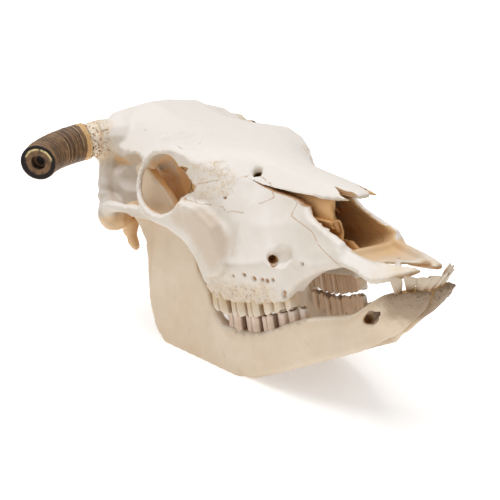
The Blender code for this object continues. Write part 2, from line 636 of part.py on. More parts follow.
def tooth_row(upper):
    start, row = (UPPER_ROW_START, UPPER_ROW_X) if upper else (LOWER_ROW_START, LOWER_ROW_X)
    widths = UPPER_TOOTH_WIDTHS if upper else LOWER_TOOTH_WIDTHS
    teeth = []
    for k, length in enumerate(TOOTH_LENGTHS):
        share = k / (len(TOOTH_LENGTHS) - 1)
        x = row[0] + (row[1] - row[0]) * share
        width = widths[0] + (widths[1] - widths[0]) * min(1.0, share * 1.6)
        middle = start + 0.5 * length
        gum = UPPER_GUM if upper else value(JAW_TOP, middle) - LOWER_GUM_BELOW_TOP
        lift = BITE_GAP if upper else -BITE_GAP
        teeth.append(cheek_tooth(x, start, length, width, 1 if k < 3 else 2, gum, lift))
        start += length
    return teeth


def incisor(k):
    """A blade from its root in the jaw to its edge, turned to lie along the arch of the teeth."""
    tip, root = Vector(INCISOR_TIPS[k]), Vector(INCISOR_ROOTS[k])
    along = (tip - root).normalized()
    arch = Vector(INCISOR_TIPS[min(k + 1, 3)]) - Vector(INCISOR_TIPS[max(k - 1, 0)])
    face = along.cross(arch).normalized()
    side = face.cross(along)
    rings = []
    for share, width, thick in ((-0.35, 0.52, 0.9), (0.2, 0.7, 1.0), (0.7, 1.0, 0.85), (1.0, 0.92, 0.3)):
        middle = root + (tip - root) * share
        rings.append([tuple(middle + side * (0.5 * INCISOR_WIDTH * width * math.cos(a))
                            + face * (0.5 * INCISOR_THICK * thick * math.sin(a)))
                      for a in (math.pi * k / 4 for k in range(8))])
    return loft(rings)


# The lower jaw.
def jaw_ring(y):
    inner, outer, top, low = (value(line, y) for line in (JAW_INNER, JAW_OUTER, JAW_TOP, JAW_BOTTOM))
    wide, high = outer - inner, top - low
    keel = inner + wide * value(JAW_KEEL, y)
    half = [(inner + 0.2 * wide, top), (outer - 0.12 * wide, top), (outer, top - 0.2 * high),
            (0.5 * (outer + keel), low + 0.4 * high), (keel - 0.12 * wide, low + 0.12 * high),
            (0.5 * (inner + keel), low),
            (inner + 0.1 * wide, low + 0.12 * high), (inner, top - 0.3 * high)]
    return [(x, y, z) for x, z in half]


def ramus_face(offset):
    return lambda y, z: RAMUS_START[1] + RAMUS_FLARE * (y - RAMUS_START[0]) + RAMUS_LEAN * z + offset


def lower_jaw(side):
    shapes = [loft([jaw_ring(y) for y in np.linspace(JAW_START, 300, 32)]),
              plate(RAMUS, ramus_face(-0.5 * RAMUS_THICK), ramus_face(0.5 * RAMUS_THICK)),
              ball(JAW_CONDYLE, JAW_CONDYLE_SIZE)]
    flip = mirrored if side == "right" else lambda shape: shape
    jaw = melt(make("mandible_" + side, [flip(shape) for shape in shapes]), grain=2.2, relax=3)
    thin_out(jaw, JAW_TRIANGLES)
    other_half = plate(JAW_BLOCK, lambda y, z: -FAR_SIDE, lambda y, z: 0.5 * GAP)
    t = math.radians(SNOUT_LIFT)
    front, back = GROUND_REACH
    ground = [(y, (y * math.sin(t) - FLOOR_DROP) / math.cos(t)) for y in (front, back)]
    outline = ground + [(back, -FAR_SIDE), (front, -FAR_SIDE)]
    below = plate(outline, lambda y, z: -FAR_SIDE, lambda y, z: FAR_SIDE)
    cut(jaw, [flip(rod(MENTAL_HOLE, MENTAL_HOLE_RADII)), flip(other_half), below])
    teeth = tooth_row(upper=False) + [incisor(k) for k in range(len(INCISOR_TIPS))]
    join(jaw, [flip(tooth) for tooth in teeth])
    return largest_only(skew(jaw))


# The horns: a sheath that was cut off short, over a core of porous bone.
def horn_ring(side, along, radius, sides=14):
    sign = -1 if side == "right" else 1
    droop, roll = math.radians(HORN_DROOP[side]), math.radians(HORN_ROLL[side])
    out = Vector((sign * math.cos(droop), 0, -math.sin(droop)))
    down = Vector((-sign * math.sin(droop), 0, -math.cos(droop)))
    bend = Vector((0, -1, 0)) * math.cos(roll) + down * math.sin(roll)
    base = Vector(HORN_BASE[side])
    base.x *= sign
    total = math.radians(HORN_BEND)
    turn = total * max(along, 0.0) / HORN_LENGTH
    arc = HORN_LENGTH / total
    middle = base + out * (arc * math.sin(turn) + min(along, 0.0)) + bend * (arc * (1 - math.cos(turn)))
    forward = out * math.cos(turn) + bend * math.sin(turn)
    second = forward.cross(out.cross(bend))
    third = forward.cross(second)
    return [tuple(middle + (second * math.cos(a) + third * math.sin(a)) * radius)
            for a in (2 * math.pi * k / sides for k in range(sides))]


def sheath_radius(along):
    return HORN_RADIUS + (HORN_END_RADIUS - HORN_RADIUS) * along / HORN_LENGTH


def hole_radius(along):
    return sheath_radius(along) - SHEATH_WALL - (SHEATH_END_WALL - SHEATH_WALL) * along / HORN_LENGTH


def horn_sheath(side):
    steps = np.linspace(0, HORN_LENGTH, HORN_STEPS + 1)
    outside = [horn_ring(side, s, sheath_radius(s)) for s in steps]
    inside = [horn_ring(side, s, hole_radius(s)) for s in reversed(steps)]
    return largest_only(skew(make("horn_sheath_" + side, [sleeve(outside + inside)])))


def horn_core(side):
    droop = math.radians(HORN_DROOP[side])
    neck = (HORN_BASE[side][0] - STEM_END) / math.cos(droop) + 24.0 * math.tan(droop)
    rings = [horn_ring(side, along, radius) for along, radius in zip((-neck, -0.5 * neck, -GAP), STEM_RADII)]
    steps = np.linspace(0, HORN_LENGTH, HORN_STEPS + 1)[:CORE_STEPS + 1]
    rings += [horn_ring(side, s, hole_radius(s) - GAP) for s in steps]
    core = make("horn_core_" + side, [loft(rings)])
    edges = sorted((0.0, (STEM_END + GAP) * (-1 if side == "right" else 1)))
    cut(core, [plate(CORE_BLOCK, lambda y, z: edges[0], lambda y, z: edges[1])])
    return largest_only(skew(core))


# The thin bones inside the nose.
def turbinate(side, grow=0.0):
    """Scrolled plate along the side wall of the nose, in section a hook that hangs from the wall."""
    rings = []
    for y in np.linspace(TURBINATE_START[side] - grow, TURBINATE_END + grow, 6):
        edge = value(ROOF_EDGE, y)
        root = (TURBINATE_ROOTS[int(y > PREMAX_END)], TURBINATE_ROOT_DEPTH)
        hook = [Vector((x, edge - depth)) for x, depth in (root,) + TURBINATE_HOOK]
        outer, inner = [], []
        for i, point in enumerate(hook):
            before, after = hook[max(i - 1, 0)], hook[min(i + 1, len(hook) - 1)]
            along = (after - before).normalized()
            offset = Vector((along.y, -along.x)) * (0.5 * TURBINATE_THICK + grow)
            end = along * (grow if i == len(hook) - 1 else -grow if i == 0 else 0.0)
            outer.append((point.x + offset.x + end.x, y, point.y + offset.y + end.y))
            inner.append((point.x - offset.x + end.x, y, point.y - offset.y + end.y))
        rings.append(outer + inner[::-1])
    return loft(rings)


def vomer(grow=0.0):
    """Upright keel along the middle of the nose's floor."""
    half = 0.5 * VOMER_THICK + grow
    return plate(grown(VOMER, grow), lambda y, z: -half, lambda y, z: half)


def coat(item, kind):
    """One material of its own on the object."""
    material = bpy.data.materials.new(item.name + "_" + kind)
    material.use_nodes = True
    surface = material.node_tree.nodes["Principled BSDF"]
    surface.inputs["Base Color"].default_value = (*COLOURS[kind], 1.0)
    surface.inputs["Roughness"].default_value = ROUGHNESS[kind]
    surface.inputs["Metallic"].default_value = 0.0
    item.data.materials.clear()
    item.data.materials.append(material)
    item.data.shade_smooth()


def build():
    for item in list(bpy.data.objects):
        bpy.data.objects.remove(item)
    bones = part_bones(upper_skull())
    for side in ("right", "left"):
        flip = mirrored if side == "right" else lambda shape: shape
        upper = bones["maxilla_" + side]
        join(upper, [flip(tooth) for tooth in tooth_row(upper=True)])
        cut(upper, [flip(turbinate(side, GAP)), vomer(GAP)])
        largest_only(upper)
    looks = {bone: "bone" for bone in bones.values()}
    looks[make("vomer", [vomer()])] = "thin_bone"
    for side in ("right", "left"):
        shape = mirrored(turbinate(side)) if side == "right" else turbinate(side)
        looks[largest_only(make("turbinate_" + side, [shape]))] = "thin_bone"
        looks[lower_jaw(side)] = "jaw_bone"
        looks[horn_core(side)] = "core"
        looks[horn_sheath(side)] = "horn"
    pose = bpy.data.objects.new("skull_pose", None)
    bpy.context.scene.collection.objects.link(pose)
    tilt = Matrix.Rotation(math.radians(-SNOUT_LIFT), 4, "X")
    corners = np.array([tilt @ v.co for item in looks for v in item.data.vertices])
    middle = 0.5 * (corners.min(axis=0) + corners.max(axis=0))
    pose.rotation_euler.x = math.radians(-SNOUT_LIFT)
    pose.location = (-middle[0], -middle[1], -corners[:, 2].min())
    for item, kind in looks.items():
        coat(item, kind)
        item.parent = pose
    print("triangles", {item.name: len(item.data.polygons) for item in looks})
    print("pose", [round(c, 5) for c in pose.location])


build()
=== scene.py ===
import contextlib
import math

import bmesh
import bpy
import numpy as np
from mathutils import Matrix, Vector, noise
from mathutils.bvhtree import BVHTree


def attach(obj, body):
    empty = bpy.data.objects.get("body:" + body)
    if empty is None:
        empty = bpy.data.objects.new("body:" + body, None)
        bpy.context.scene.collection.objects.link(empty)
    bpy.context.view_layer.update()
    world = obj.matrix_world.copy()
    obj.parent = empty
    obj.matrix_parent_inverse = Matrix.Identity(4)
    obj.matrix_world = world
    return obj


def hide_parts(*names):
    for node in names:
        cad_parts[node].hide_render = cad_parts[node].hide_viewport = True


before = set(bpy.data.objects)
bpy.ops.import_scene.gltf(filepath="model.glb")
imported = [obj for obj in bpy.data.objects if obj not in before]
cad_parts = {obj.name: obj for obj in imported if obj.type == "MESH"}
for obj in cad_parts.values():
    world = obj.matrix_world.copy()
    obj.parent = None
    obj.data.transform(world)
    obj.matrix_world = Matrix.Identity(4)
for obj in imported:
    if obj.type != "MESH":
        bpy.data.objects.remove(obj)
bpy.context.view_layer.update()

# The photograph's viewpoint: a long lens a little above the skull, looking at its right side and its face.
# The view is level, so that the skull's weight bears straight down on its lower jaw.
CAMERA_PLACE = (-0.74745, -1.10972, 0.59842)
CAMERA_PITCH, CAMERA_HEADING = math.radians(70.558), math.radians(-32.973)
CAMERA_LENS, FILM_WIDTH, PHOTO_SIZE = 94.152, 36.0, 500


def new_object(name, data):
    found = bpy.data.objects.new(name, data)
    bpy.context.scene.collection.objects.link(found)
    return found


view = bpy.data.cameras.new("photo_view")
view.sensor_width, view.lens = FILM_WIDTH, CAMERA_LENS
view.clip_start, view.clip_end = 0.05, 30.0
camera = new_object("photo_view", view)
camera.location = CAMERA_PLACE
camera.rotation_euler = (CAMERA_PITCH, 0.0, CAMERA_HEADING)
bpy.context.scene.camera = camera


# The table and the light: a white sweep of paper under a broad soft light from above and a little behind, with
# fill from all round, as for a catalogue photograph. The paper glows a little, since it was lit on its own, so the
# shadow is faint and lies close about the lower jaw.
SWEEP_SIZE = 12.0
PAPER_WHITE, PAPER_GLOW = (0.95, 0.95, 0.95), 0.36
KEY_WAY, KEY_SPREAD, KEY_STRENGTH = Vector((0.14, -0.20, -1.0)), math.radians(55), 1.8
FILL_STRENGTH = 0.52


class Channel:
    """A value on a shader socket, with Python's operators standing for Math nodes."""

    def __init__(self, tree, socket):
        self.tree, self.socket = tree, socket

    def math(self, operation, *others):
        return self.tree.add("ShaderNodeMath", {"operation": operation}, dict(enumerate((self,) + others)))

    def __add__(self, other):
        return self.math("ADD", other)

    def __sub__(self, other):
        return self.math("SUBTRACT", other)

    def __rsub__(self, other):
        return self.tree.add("ShaderNodeMath", {"operation": "SUBTRACT"}, {0: other, 1: self})

    def __mul__(self, other):
        return self.math("MULTIPLY", other)

    __radd__, __rmul__ = __add__, __mul__

    def __abs__(self):
        return self.math("ABSOLUTE")

    def between(self, low, high):
        """0 below low and 1 above high, with a soft step between; low may be the larger of the two."""
        return self.tree.add("ShaderNodeMapRange", {"interpolation_type": "SMOOTHSTEP"},
                             {"Value": self, "From Min": low, "From Max": high})


class Finish:
    """A material under construction."""

    def __init__(self, name, roughness=0.5, **constants):
        self.material = bpy.data.materials.new(name)
        self.material.use_nodes = True
        self.nodes, self.links = self.material.node_tree.nodes, self.material.node_tree.links
        self.surface = self.nodes["Principled BSDF"]
        self.surface.inputs["Roughness"].default_value = roughness
        for name, constant in constants.items():
            self.surface.inputs[name.replace("_", " ")].default_value = constant

    def add(self, kind, settings=None, values=None, output=0):
        """Add one node, set it up, feed its sockets, and give back one of its outputs."""
        node = self.nodes.new(kind)
        for key, setting in (settings or {}).items():
            setattr(node, key, setting)
        for key, given in (values or {}).items():
            self.feed(node.inputs[key], given)
        return Channel(self, node.outputs[output])

    def feed(self, socket, given):
        if isinstance(given, Channel):
            self.links.new(given.socket, socket)
        elif socket.type == "RGBA":
            socket.default_value = (*given, 1.0)
        else:
            socket.default_value = given

    def layered(self, colour, *layers):
        """Lay colours over one another, each with its share."""
        for shade, share in layers:
            node = self.nodes.new("ShaderNodeMix")
            node.data_type = "RGBA"
            for name, given in (("Factor_Float", share), ("A_Color", colour), ("B_Color", shade)):
                self.feed(next(s for s in node.inputs if s.identifier == name), given)
            colour = Channel(self, next(s for s in node.outputs if s.identifier == "Result_Color"))
        return colour

    def place(self):
        """Where a point is in the object's own space, in metres."""
        return self.add("ShaderNodeTexCoord", output=3)

    def grain(self, scale, detail=3.0, stretch=(1.0, 1.0, 1.0)):
        """Soft noise over the object's own space, about 0 to 1 with its middle at a half."""
        place = self.add("ShaderNodeMapping", None, {"Vector": self.place(), "Scale": stretch})
        return self.add("ShaderNodeTexNoise", None, {"Vector": place, "Scale": scale, "Detail": detail,
                                                     "Roughness": 0.55})

    def carried(self, name):
        """A value that the mesh carries on its points."""
        return self.add("ShaderNodeAttribute", {"attribute_name": name}, output=2)

    def raised(self, height, depth):
        bump = self.add("ShaderNodeBump", None, {"Height": height, "Distance": depth, "Strength": 1.0})
        self.feed(self.surface.inputs["Normal"], bump)

    def coloured(self, colour, *layers):
        self.feed(self.surface.inputs["Base Color"], self.layered(colour, *layers))


paper = Finish("white_paper", roughness=0.9, Emission_Color=(1.0, 1.0, 1.0, 1.0), Emission_Strength=PAPER_GLOW)
paper.coloured(PAPER_WHITE, (tuple(0.985 * c for c in PAPER_WHITE), paper.grain(3.0)))
sweep = new_object("paper_sweep", bpy.data.meshes.new("paper_sweep"))
corners = [(0.5 * SWEEP_SIZE * x, 0.5 * SWEEP_SIZE * y, 0) for x, y in ((-1, -1), (1, -1), (1, 1), (-1, 1))]
sweep.data.from_pydata(corners, [], [(0, 1, 2, 3)])
sweep.data.materials.append(paper.material)

lamp = bpy.data.lights.new("soft_light", "SUN")
lamp.angle, lamp.energy = KEY_SPREAD, KEY_STRENGTH
new_object("soft_light", lamp).rotation_euler = KEY_WAY.to_track_quat("-Z", "Y").to_euler()

air = bpy.data.worlds.new("studio_air")
air.use_nodes = True
fill = air.node_tree.nodes["Background"].inputs
fill["Color"].default_value, fill["Strength"].default_value = (1.0, 1.0, 1.0, 1.0), FILL_STRENGTH
bpy.context.scene.world = air
bpy.context.scene.view_settings.view_transform = "Standard"


# The upper skull: bones that grew together, so their outer skin is one piece here, and the sutures are thin wavy
# lines in it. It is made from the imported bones, swollen until they meet and then melted into one skin, which is
# finely divided for the foramina, the porous patches, the broken rim of the orbit and the brittle nasal tips.
SIDES = {"right": -1, "left": 1}
BONES = ("frontal", "braincase", *(bone + side for bone in ("zygomatic", "lacrimal", "maxilla", "premaxilla", "nasal")
                                   for side in ("_right", "_left")))
MM, WELD_REACH = 0.001, 0.002
SNOUT_LIFT = math.radians(16.56)
SKULL_ORIGIN = np.array([0.00784, -0.25572, 0.1535])
SKEW, SKEW_START, SKEW_END, SKEW_HEIGHT = math.radians(5.0), 300.0, 450.0, 130.0
SKEW_FLOOR, SKEW_RISE = -10.0, 80.0
SKIN_GRAIN, SKIN_SWELL, SKIN_ROUNDS, SOFT_GIVE, SOFT_BACK = 2.3, 0.35, 24, 0.5, -0.53
# The bones whose sutures still show, with how far the line wanders and how large a share of it has closed.
SUTURES, SEAM_REACH = (("lacrimal", 5.0, 0.40), ("premaxilla", 2.0, 0.30)), 10.0
RECESS_START, RECESS_REACH, RECESS_RAYS = 1.2, 75.0, 18
ROOT_START, ROOT_RIDGE, ROOT_PITCH = 165.0, 1.5, 12.5
# What is cut off, as side views (y, z) and spans in x: the plain teeth, and the orbit's broken front edge.
UPPER_TEETH_CUT = ((162, -40), (292, -40), (292, 12), (284, 8), (250, 2), (200, 0), (174, 0), (166, 3), (162, 6))
UPPER_TEETH_SPAN = (16, 95)
ORBIT_BREAK = ((300, 152), (290, 151), (283.5, 148.5), (287.5, 144), (282.5, 138.5), (278, 133), (271.5, 128),
               (275, 123), (284, 122), (291, 119.5), (300, 118))
ORBIT_BREAK_SPAN = (66, 110)
# A top view (x, y) of the bone that is worn away on the tongue's side of the upper teeth, and its span in z.
TONGUE_SIDE = ((16, 163.5), (42, 163.5), (50, 205), (59, 291), (16, 291))
TONGUE_SIDE_HEIGHTS = (-30, 13)
# The gap under the side edge of the nasal bone, as a side view (y, z) and a span in x.
NASAL_GAP = ((222, 129), (205, 121), (188, 116), (160, 110), (132, 105), (118, 100), (128, 92), (143, 96),
             (160, 104), (188, 112), (205, 119))
NASAL_GAP_SPAN = (16, 60)
# Top views (x, y) of what is missing between and beside the tips of each nasal bone.
NASAL_NOTCH = ((5.5, 70), (17, 70), (17, 88), (12.3, 112), (8, 90))
NASAL_CORNER = ((17.4, 70), (40, 70), (40, 94), (21, 94), (17.4, 88))
NASAL_TIP_HEIGHTS = (84, 140)
# Marks that the photograph shows, as pixels: holes with a radius and a depth in millimetres.
SKULL_HOLES = (((225, 197.5), 1.6, 3.0), ((302, 264), 1.8, 3.5), ((276.5, 258), 3.4, 4.0), ((274, 265), 3.0, 3.0),
               ((145, 130), 1.0, 1.2), ((167, 133), 1.2, 1.4), ((200, 143), 1.0, 1.2), ((244, 275), 2.0, 3.0),
               ((254, 279), 2.6, 3.5), ((267, 281), 2.4, 3.0), ((233, 276), 1.6, 2.5), ((272.6, 280), 1.8, 3.0),
               ((262, 280), 2.0, 3.0), ((284, 293), 2.6, 4.0), ((284.5, 297), 2.4, 4.0))
# The pixel in front of the cheek's nerve hole where the bone is level, and how far, in millimetres, it is levelled.
LEVELLED, LEVEL_REACH, LEVEL_RING = (284.5, 257.0), 15.0, 21.0
# Pixels over the rough cheek where the chewing muscle was fixed, painted tan partly as the rough bone's own tone and
# partly as painted shade, and the reach of each in millimetres.
MUSCLE_SCAR_AND_SHADE_SPOTS = ((178, 218), (192, 226), (202, 240), (211, 258), (218, 246), (212, 230), (200, 216))
MUSCLE_REACH = 14.0
# The broken edges of the orbit and of the nasal bones, as spans in x, y and z.
ORBIT_EDGE = ((60, 112), (262, 305), (112, 168))
NASAL_EDGE = ((5, 45), (84, 228), (84, 134))


def skew_angle(y, z):
    """How far the back of the skull is turned about its length at each place."""
    t = np.clip((y - SKEW_START) / (SKEW_END - SKEW_START), 0.0, 1.0)
    h = np.clip((z - SKEW_FLOOR) / SKEW_RISE, 0.0, 1.0)
    return SKEW * t * t * (3 - 2 * t) * h * h * (3 - 2 * h)


def to_skull(points):
    """Row-frame points in metres as skull-frame points in millimetres, with the skull's skew undone."""
    p = (np.asarray(points, float) - SKULL_ORIGIN) / MM
    c, s = math.cos(SNOUT_LIFT), math.sin(SNOUT_LIFT)
    x, y, z = p[:, 0], c * p[:, 1] - s * p[:, 2], s * p[:, 1] + c * p[:, 2]
    angle, rise = skew_angle(y, z), z - SKEW_HEIGHT
    return np.stack([x * np.cos(angle) - rise * np.sin(angle), y,
                     x * np.sin(angle) + rise * np.cos(angle) + SKEW_HEIGHT], axis=1)


def to_row(points):
    """Skull-frame points in millimetres as row-frame points in metres."""
    p = np.asarray(points, float)
    angle, rise = skew_angle(p[:, 1], p[:, 2]), p[:, 2] - SKEW_HEIGHT
    x = p[:, 0] * np.cos(angle) + rise * np.sin(angle)
    z = rise * np.cos(angle) - p[:, 0] * np.sin(angle) + SKEW_HEIGHT
    c, s = math.cos(SNOUT_LIFT), math.sin(SNOUT_LIFT)
    return np.stack([x, c * p[:, 1] + s * z, c * z - s * p[:, 1]], axis=1) * MM + SKULL_ORIGIN


def read_points(mesh, what="co"):
    flat = np.empty(3 * len(mesh.vertices), np.float32)
    mesh.vertices.foreach_get(what, flat)
    return flat.reshape(-1, 3).astype(float)


def write_points(mesh, points):
    mesh.vertices.foreach_set("co", np.asarray(points, np.float32).ravel())
    mesh.update()


def pushed_out(mesh, lift):
    """The points after a move along their normals, by one number of millimetres or one for each point."""
    return read_points(mesh) + read_points(mesh, "normal") * np.reshape(lift, (-1, 1)) * MM


def worn(mesh, depth, size):
    """Roughen a mesh, with the depth and the size of the roughness in millimetres."""
    write_points(mesh, pushed_out(mesh, depth * rough(to_skull(read_points(mesh)), size)))


def carry(mesh, name, values):
    """Store one value for each point of the mesh."""
    layer = mesh.attributes.get(name) or mesh.attributes.new(name, "FLOAT", "POINT")
    layer.data.foreach_set("value", np.asarray(values, np.float32))


@contextlib.contextmanager
def edited(mesh):
    """The mesh opened for edits, which are written back at the end."""
    bm = bmesh.new()
    bm.from_mesh(mesh)
    yield bm
    bm.to_mesh(mesh)
    bm.free()


def skinned(name, *shapes):
    """Mesh over closed shapes, each a list of rings with as many points each, given in the skull frame."""
    points, faces = [], []
    for rings in shapes:
        start, count = len(points), len(rings[0])
        last = start + (len(rings) - 1) * count
        faces += [(start + r * count + i, start + r * count + (i + 1) % count,
                   start + (r + 1) * count + (i + 1) % count, start + (r + 1) * count + i)
                  for r in range(len(rings) - 1) for i in range(count)]
        faces += [tuple(range(start, start + count))[::-1], tuple(range(last, last + count))]
        points += [point for ring in rings for point in ring]
    mesh = bpy.data.meshes.new(name)
    mesh.from_pydata(to_row(points).tolist(), [], faces)
    with edited(mesh) as bm:
        bmesh.ops.recalc_face_normals(bm, faces=bm.faces)
    return mesh


def changed(item, kind, **settings):
    """Add a modifier and keep its result as the object's own mesh."""
    modifier = item.modifiers.new(kind.lower(), kind)
    for key, setting in settings.items():
        setattr(modifier, key, setting)
    mesh = bpy.data.meshes.new_from_object(item.evaluated_get(bpy.context.evaluated_depsgraph_get()))
    item.modifiers.clear()
    item.data = mesh


def cut_away(item, rings):
    tool = new_object("cutter", skinned("cutter", rings))
    changed(item, "BOOLEAN", object=tool, operation="DIFFERENCE", solver="EXACT")
    bpy.data.objects.remove(tool)


def slab(outline, inner, outer, side):
    """The rings of a side-view outline between two distances from the middle, on one side."""
    return [[(side * x, y, z) for y, z in outline] for x in (inner, outer)]


def shaft(outline, low, high, side):
    """The rings of a top-view outline between two heights, on one side."""
    return [[(side * x, y, z) for x, y in outline] for z in (low, high)]


def value(profile, y):
    """Read a profile of (place, value) pairs."""
    return np.interp(y, *zip(*profile))


def softened(mesh, rounds):
    """Smooth away short waves without shrinking the shape, by turns of giving way and of swelling back."""
    points = read_points(mesh)
    ends = np.empty(2 * len(mesh.edges), np.int32)
    mesh.edges.foreach_get("vertices", ends)
    a, b = ends[::2], ends[1::2]
    links = np.maximum(np.bincount(a, minlength=len(points)) + np.bincount(b, minlength=len(points)), 1)
    for share in rounds * (SOFT_GIVE, SOFT_BACK):
        for k in range(3):
            column = points[:, k]
            total = (np.bincount(a, weights=column[b], minlength=len(points))
                     + np.bincount(b, weights=column[a], minlength=len(points)))
            points[:, k] = column + share * (total / links - column)
    write_points(mesh, points)


def seen_at(pixel):
    """The ray of the photograph through a pixel: where it starts, and which way it goes."""
    reach = CAMERA_LENS / FILM_WIDTH * PHOTO_SIZE
    ray = Vector((pixel[0] - 0.5 * PHOTO_SIZE, 0.5 * PHOTO_SIZE - pixel[1], -reach)).normalized()
    return Vector(CAMERA_PLACE), camera.rotation_euler.to_matrix() @ ray


def spots(points, tree, pixels, reach, soft=False):
    """A mask that is 1 round the places seen at some pixels; a soft one runs out slowly."""
    found = np.zeros(len(points))
    for pixel in pixels:
        away = np.linalg.norm(points - np.array(tree.ray_cast(*seen_at(pixel))[0]), axis=1) / MM
        if soft:
            found += np.exp(-(away / reach) ** 2)
        else:
            found = np.maximum(found, step(away, 1.35 * reach, 0.75 * reach))
    return np.minimum(found, 1.0)


def tree_of(meshes):
    """One search tree over several meshes."""
    points, faces = [], []
    for mesh in meshes:
        start = len(points)
        points += [v.co.copy() for v in mesh.vertices]
        faces += [[start + i for i in face.vertices] for face in mesh.polygons]
    return BVHTree.FromPolygons(points, faces)


def recess(points, normals, tree):
    """How far each point lies in a hollow, from 0 in the open to 1 deep inside."""
    golden = math.pi * (3 - math.sqrt(5))
    ways = []
    for k in range(2 * RECESS_RAYS):
        rise = 1 - (2 * k + 1) / (2 * RECESS_RAYS)
        flat = math.sqrt(1 - rise * rise)
        ways.append(Vector((flat * math.cos(golden * k), flat * math.sin(golden * k), rise)))
    found = []
    for point, normal in zip(points, normals):
        normal = Vector(normal)
        start = Vector(point) + normal * RECESS_START * MM
        met = sum(tree.ray_cast(start, way if way.dot(normal) > 0 else -way, RECESS_REACH * MM)[0] is not None
                  for way in ways[::2])
        found.append(met / RECESS_RAYS)
    return found


def seams(mesh, names):
    """Note for each kind of bone the signed distance in millimetres of each point from its edge, inside above 0."""
    trees = [tree_of([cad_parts[node].data]) for node in BONES]
    hits = [[tree.find_nearest(vertex.co, SEAM_REACH * MM)[3] for tree in trees] for vertex in mesh.vertices]
    away = np.array([[SEAM_REACH if hit is None else hit / MM for hit in row] for row in hits])
    for name in names:
        own = np.array([node.startswith(name) for node in BONES])
        carry(mesh, name, away[:, ~own].min(axis=1) - away[:, own].min(axis=1))


def step(values, low, high):
    """0 at low and 1 at high, with a soft step between; low may be the larger of the two."""
    t = np.clip((values - low) / (high - low), 0.0, 1.0)
    return t * t * (3 - 2 * t)


def side_tone_and_shade(normals):
    """0 where the bone looks up and was bleached, 1 where it looks sideways or down, where it is painted warmer and
    darker, partly as unbleached bone and partly as painted shade.
    """
    return step(normals[:, 2], 0.70, 0.20)


def rough(points, size, layers=3):
    """Noise from -1 to 1 with the given size in millimetres."""
    return np.array([noise.fractal(Vector(p) / size, 1.0, 2.0, layers) for p in points])


# The orbit's rim as an ellipse on a slanted plane, in the skull frame, and how it runs into the face.
ORBIT_MIDDLE, ORBIT_HALF = (87.0, 325.0, 135.0), (31.5, 33.5)
ORBIT_SLANT = (0.22, -0.13)
FAIR_REACH, FAIR_SLOPE = 20.0, 0.15


def faired_orbit(p):
    """Lower the orbit's rim to its plane in front and above, and fill the groove behind it."""
    x, y, z = np.abs(p[:, 0]), p[:, 1] - ORBIT_MIDDLE[1], p[:, 2] - ORBIT_MIDDLE[2]
    beyond = (np.hypot(y / ORBIT_HALF[0], z / ORBIT_HALF[1]) - 1.0) * ORBIT_HALF[1]
    plane = ORBIT_MIDDLE[0] + ORBIT_SLANT[0] * y + ORBIT_SLANT[1] * z
    way = np.degrees(np.arctan2(z, -y))
    near = step(way, -40, -15) * step(way, 85, 55) * step(x, 56, 66)
    near *= step(beyond, -5, 0) * step(beyond, FAIR_REACH, 0.6 * FAIR_REACH)
    low = plane - 2.0 - FAIR_SLOPE * np.maximum(beyond, 0)
    high = np.minimum(x, plane + 0.5 + 0.25 * (x - plane - 0.5))
    x = x + near * (np.maximum(high, low) - x)
    return np.stack([np.sign(p[:, 0]) * x, p[:, 1], p[:, 2]], axis=1)


def bone_skin(name, nodes, grain, rounds, cutters=(), faired=None):
    """One smooth skin over packed bones, which are swollen so that they meet, with the hollows noted on it."""
    skin = new_object(name, bpy.data.meshes.new(name))
    with edited(skin.data) as whole:
        for node in nodes:
            twin = new_object("twin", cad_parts[node].data.copy())
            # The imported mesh's split corners are joined, so that it is closed again.
            with edited(twin.data) as bm:
                bmesh.ops.remove_doubles(bm, verts=bm.verts, dist=WELD_REACH * MM)
            for rings in cutters:
                cut_away(twin, rings)
            write_points(twin.data, pushed_out(twin.data, SKIN_SWELL))
            whole.from_mesh(twin.data)
            bpy.data.objects.remove(twin)
    changed(skin, "REMESH", mode="VOXEL", voxel_size=grain * MM)
    if faired:
        write_points(skin.data, to_row(faired(to_skull(read_points(skin.data)))))
    softened(skin.data, rounds)
    carry(skin.data, "recess", recess(read_points(skin.data), read_points(skin.data, "normal"), bones_near))
    return skin


def dressed(piece, material, slot, *nodes):
    """Give a piece its material and smooth shading, fix it to the root, and hide the imported parts that it stands
    for.
    """
    piece.data.materials.clear()
    piece.data.materials.append(material)
    piece.data.shade_smooth()
    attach(piece, "root")
    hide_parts(*nodes)


bones_near = tree_of([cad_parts[node].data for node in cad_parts])
cranium = bone_skin("cranium", BONES, SKIN_GRAIN, SKIN_ROUNDS, faired=faired_orbit, cutters=[
    cut for side in (1, -1) for cut in (slab(UPPER_TEETH_CUT, *UPPER_TEETH_SPAN, side),
                                        shaft(TONGUE_SIDE, *TONGUE_SIDE_HEIGHTS, side))])
seams(cranium.data, [name for name, _, _ in SUTURES])
changed(cranium, "SUBSURF", levels=1)
for side in (-1, 1):
    cut_away(cranium, slab(NASAL_GAP, *NASAL_GAP_SPAN, side))
    cut_away(cranium, slab(ORBIT_BREAK, *ORBIT_BREAK_SPAN, side))
    for outline in (NASAL_NOTCH, NASAL_CORNER):
        cut_away(cranium, shaft(outline, *NASAL_TIP_HEIGHTS, side))


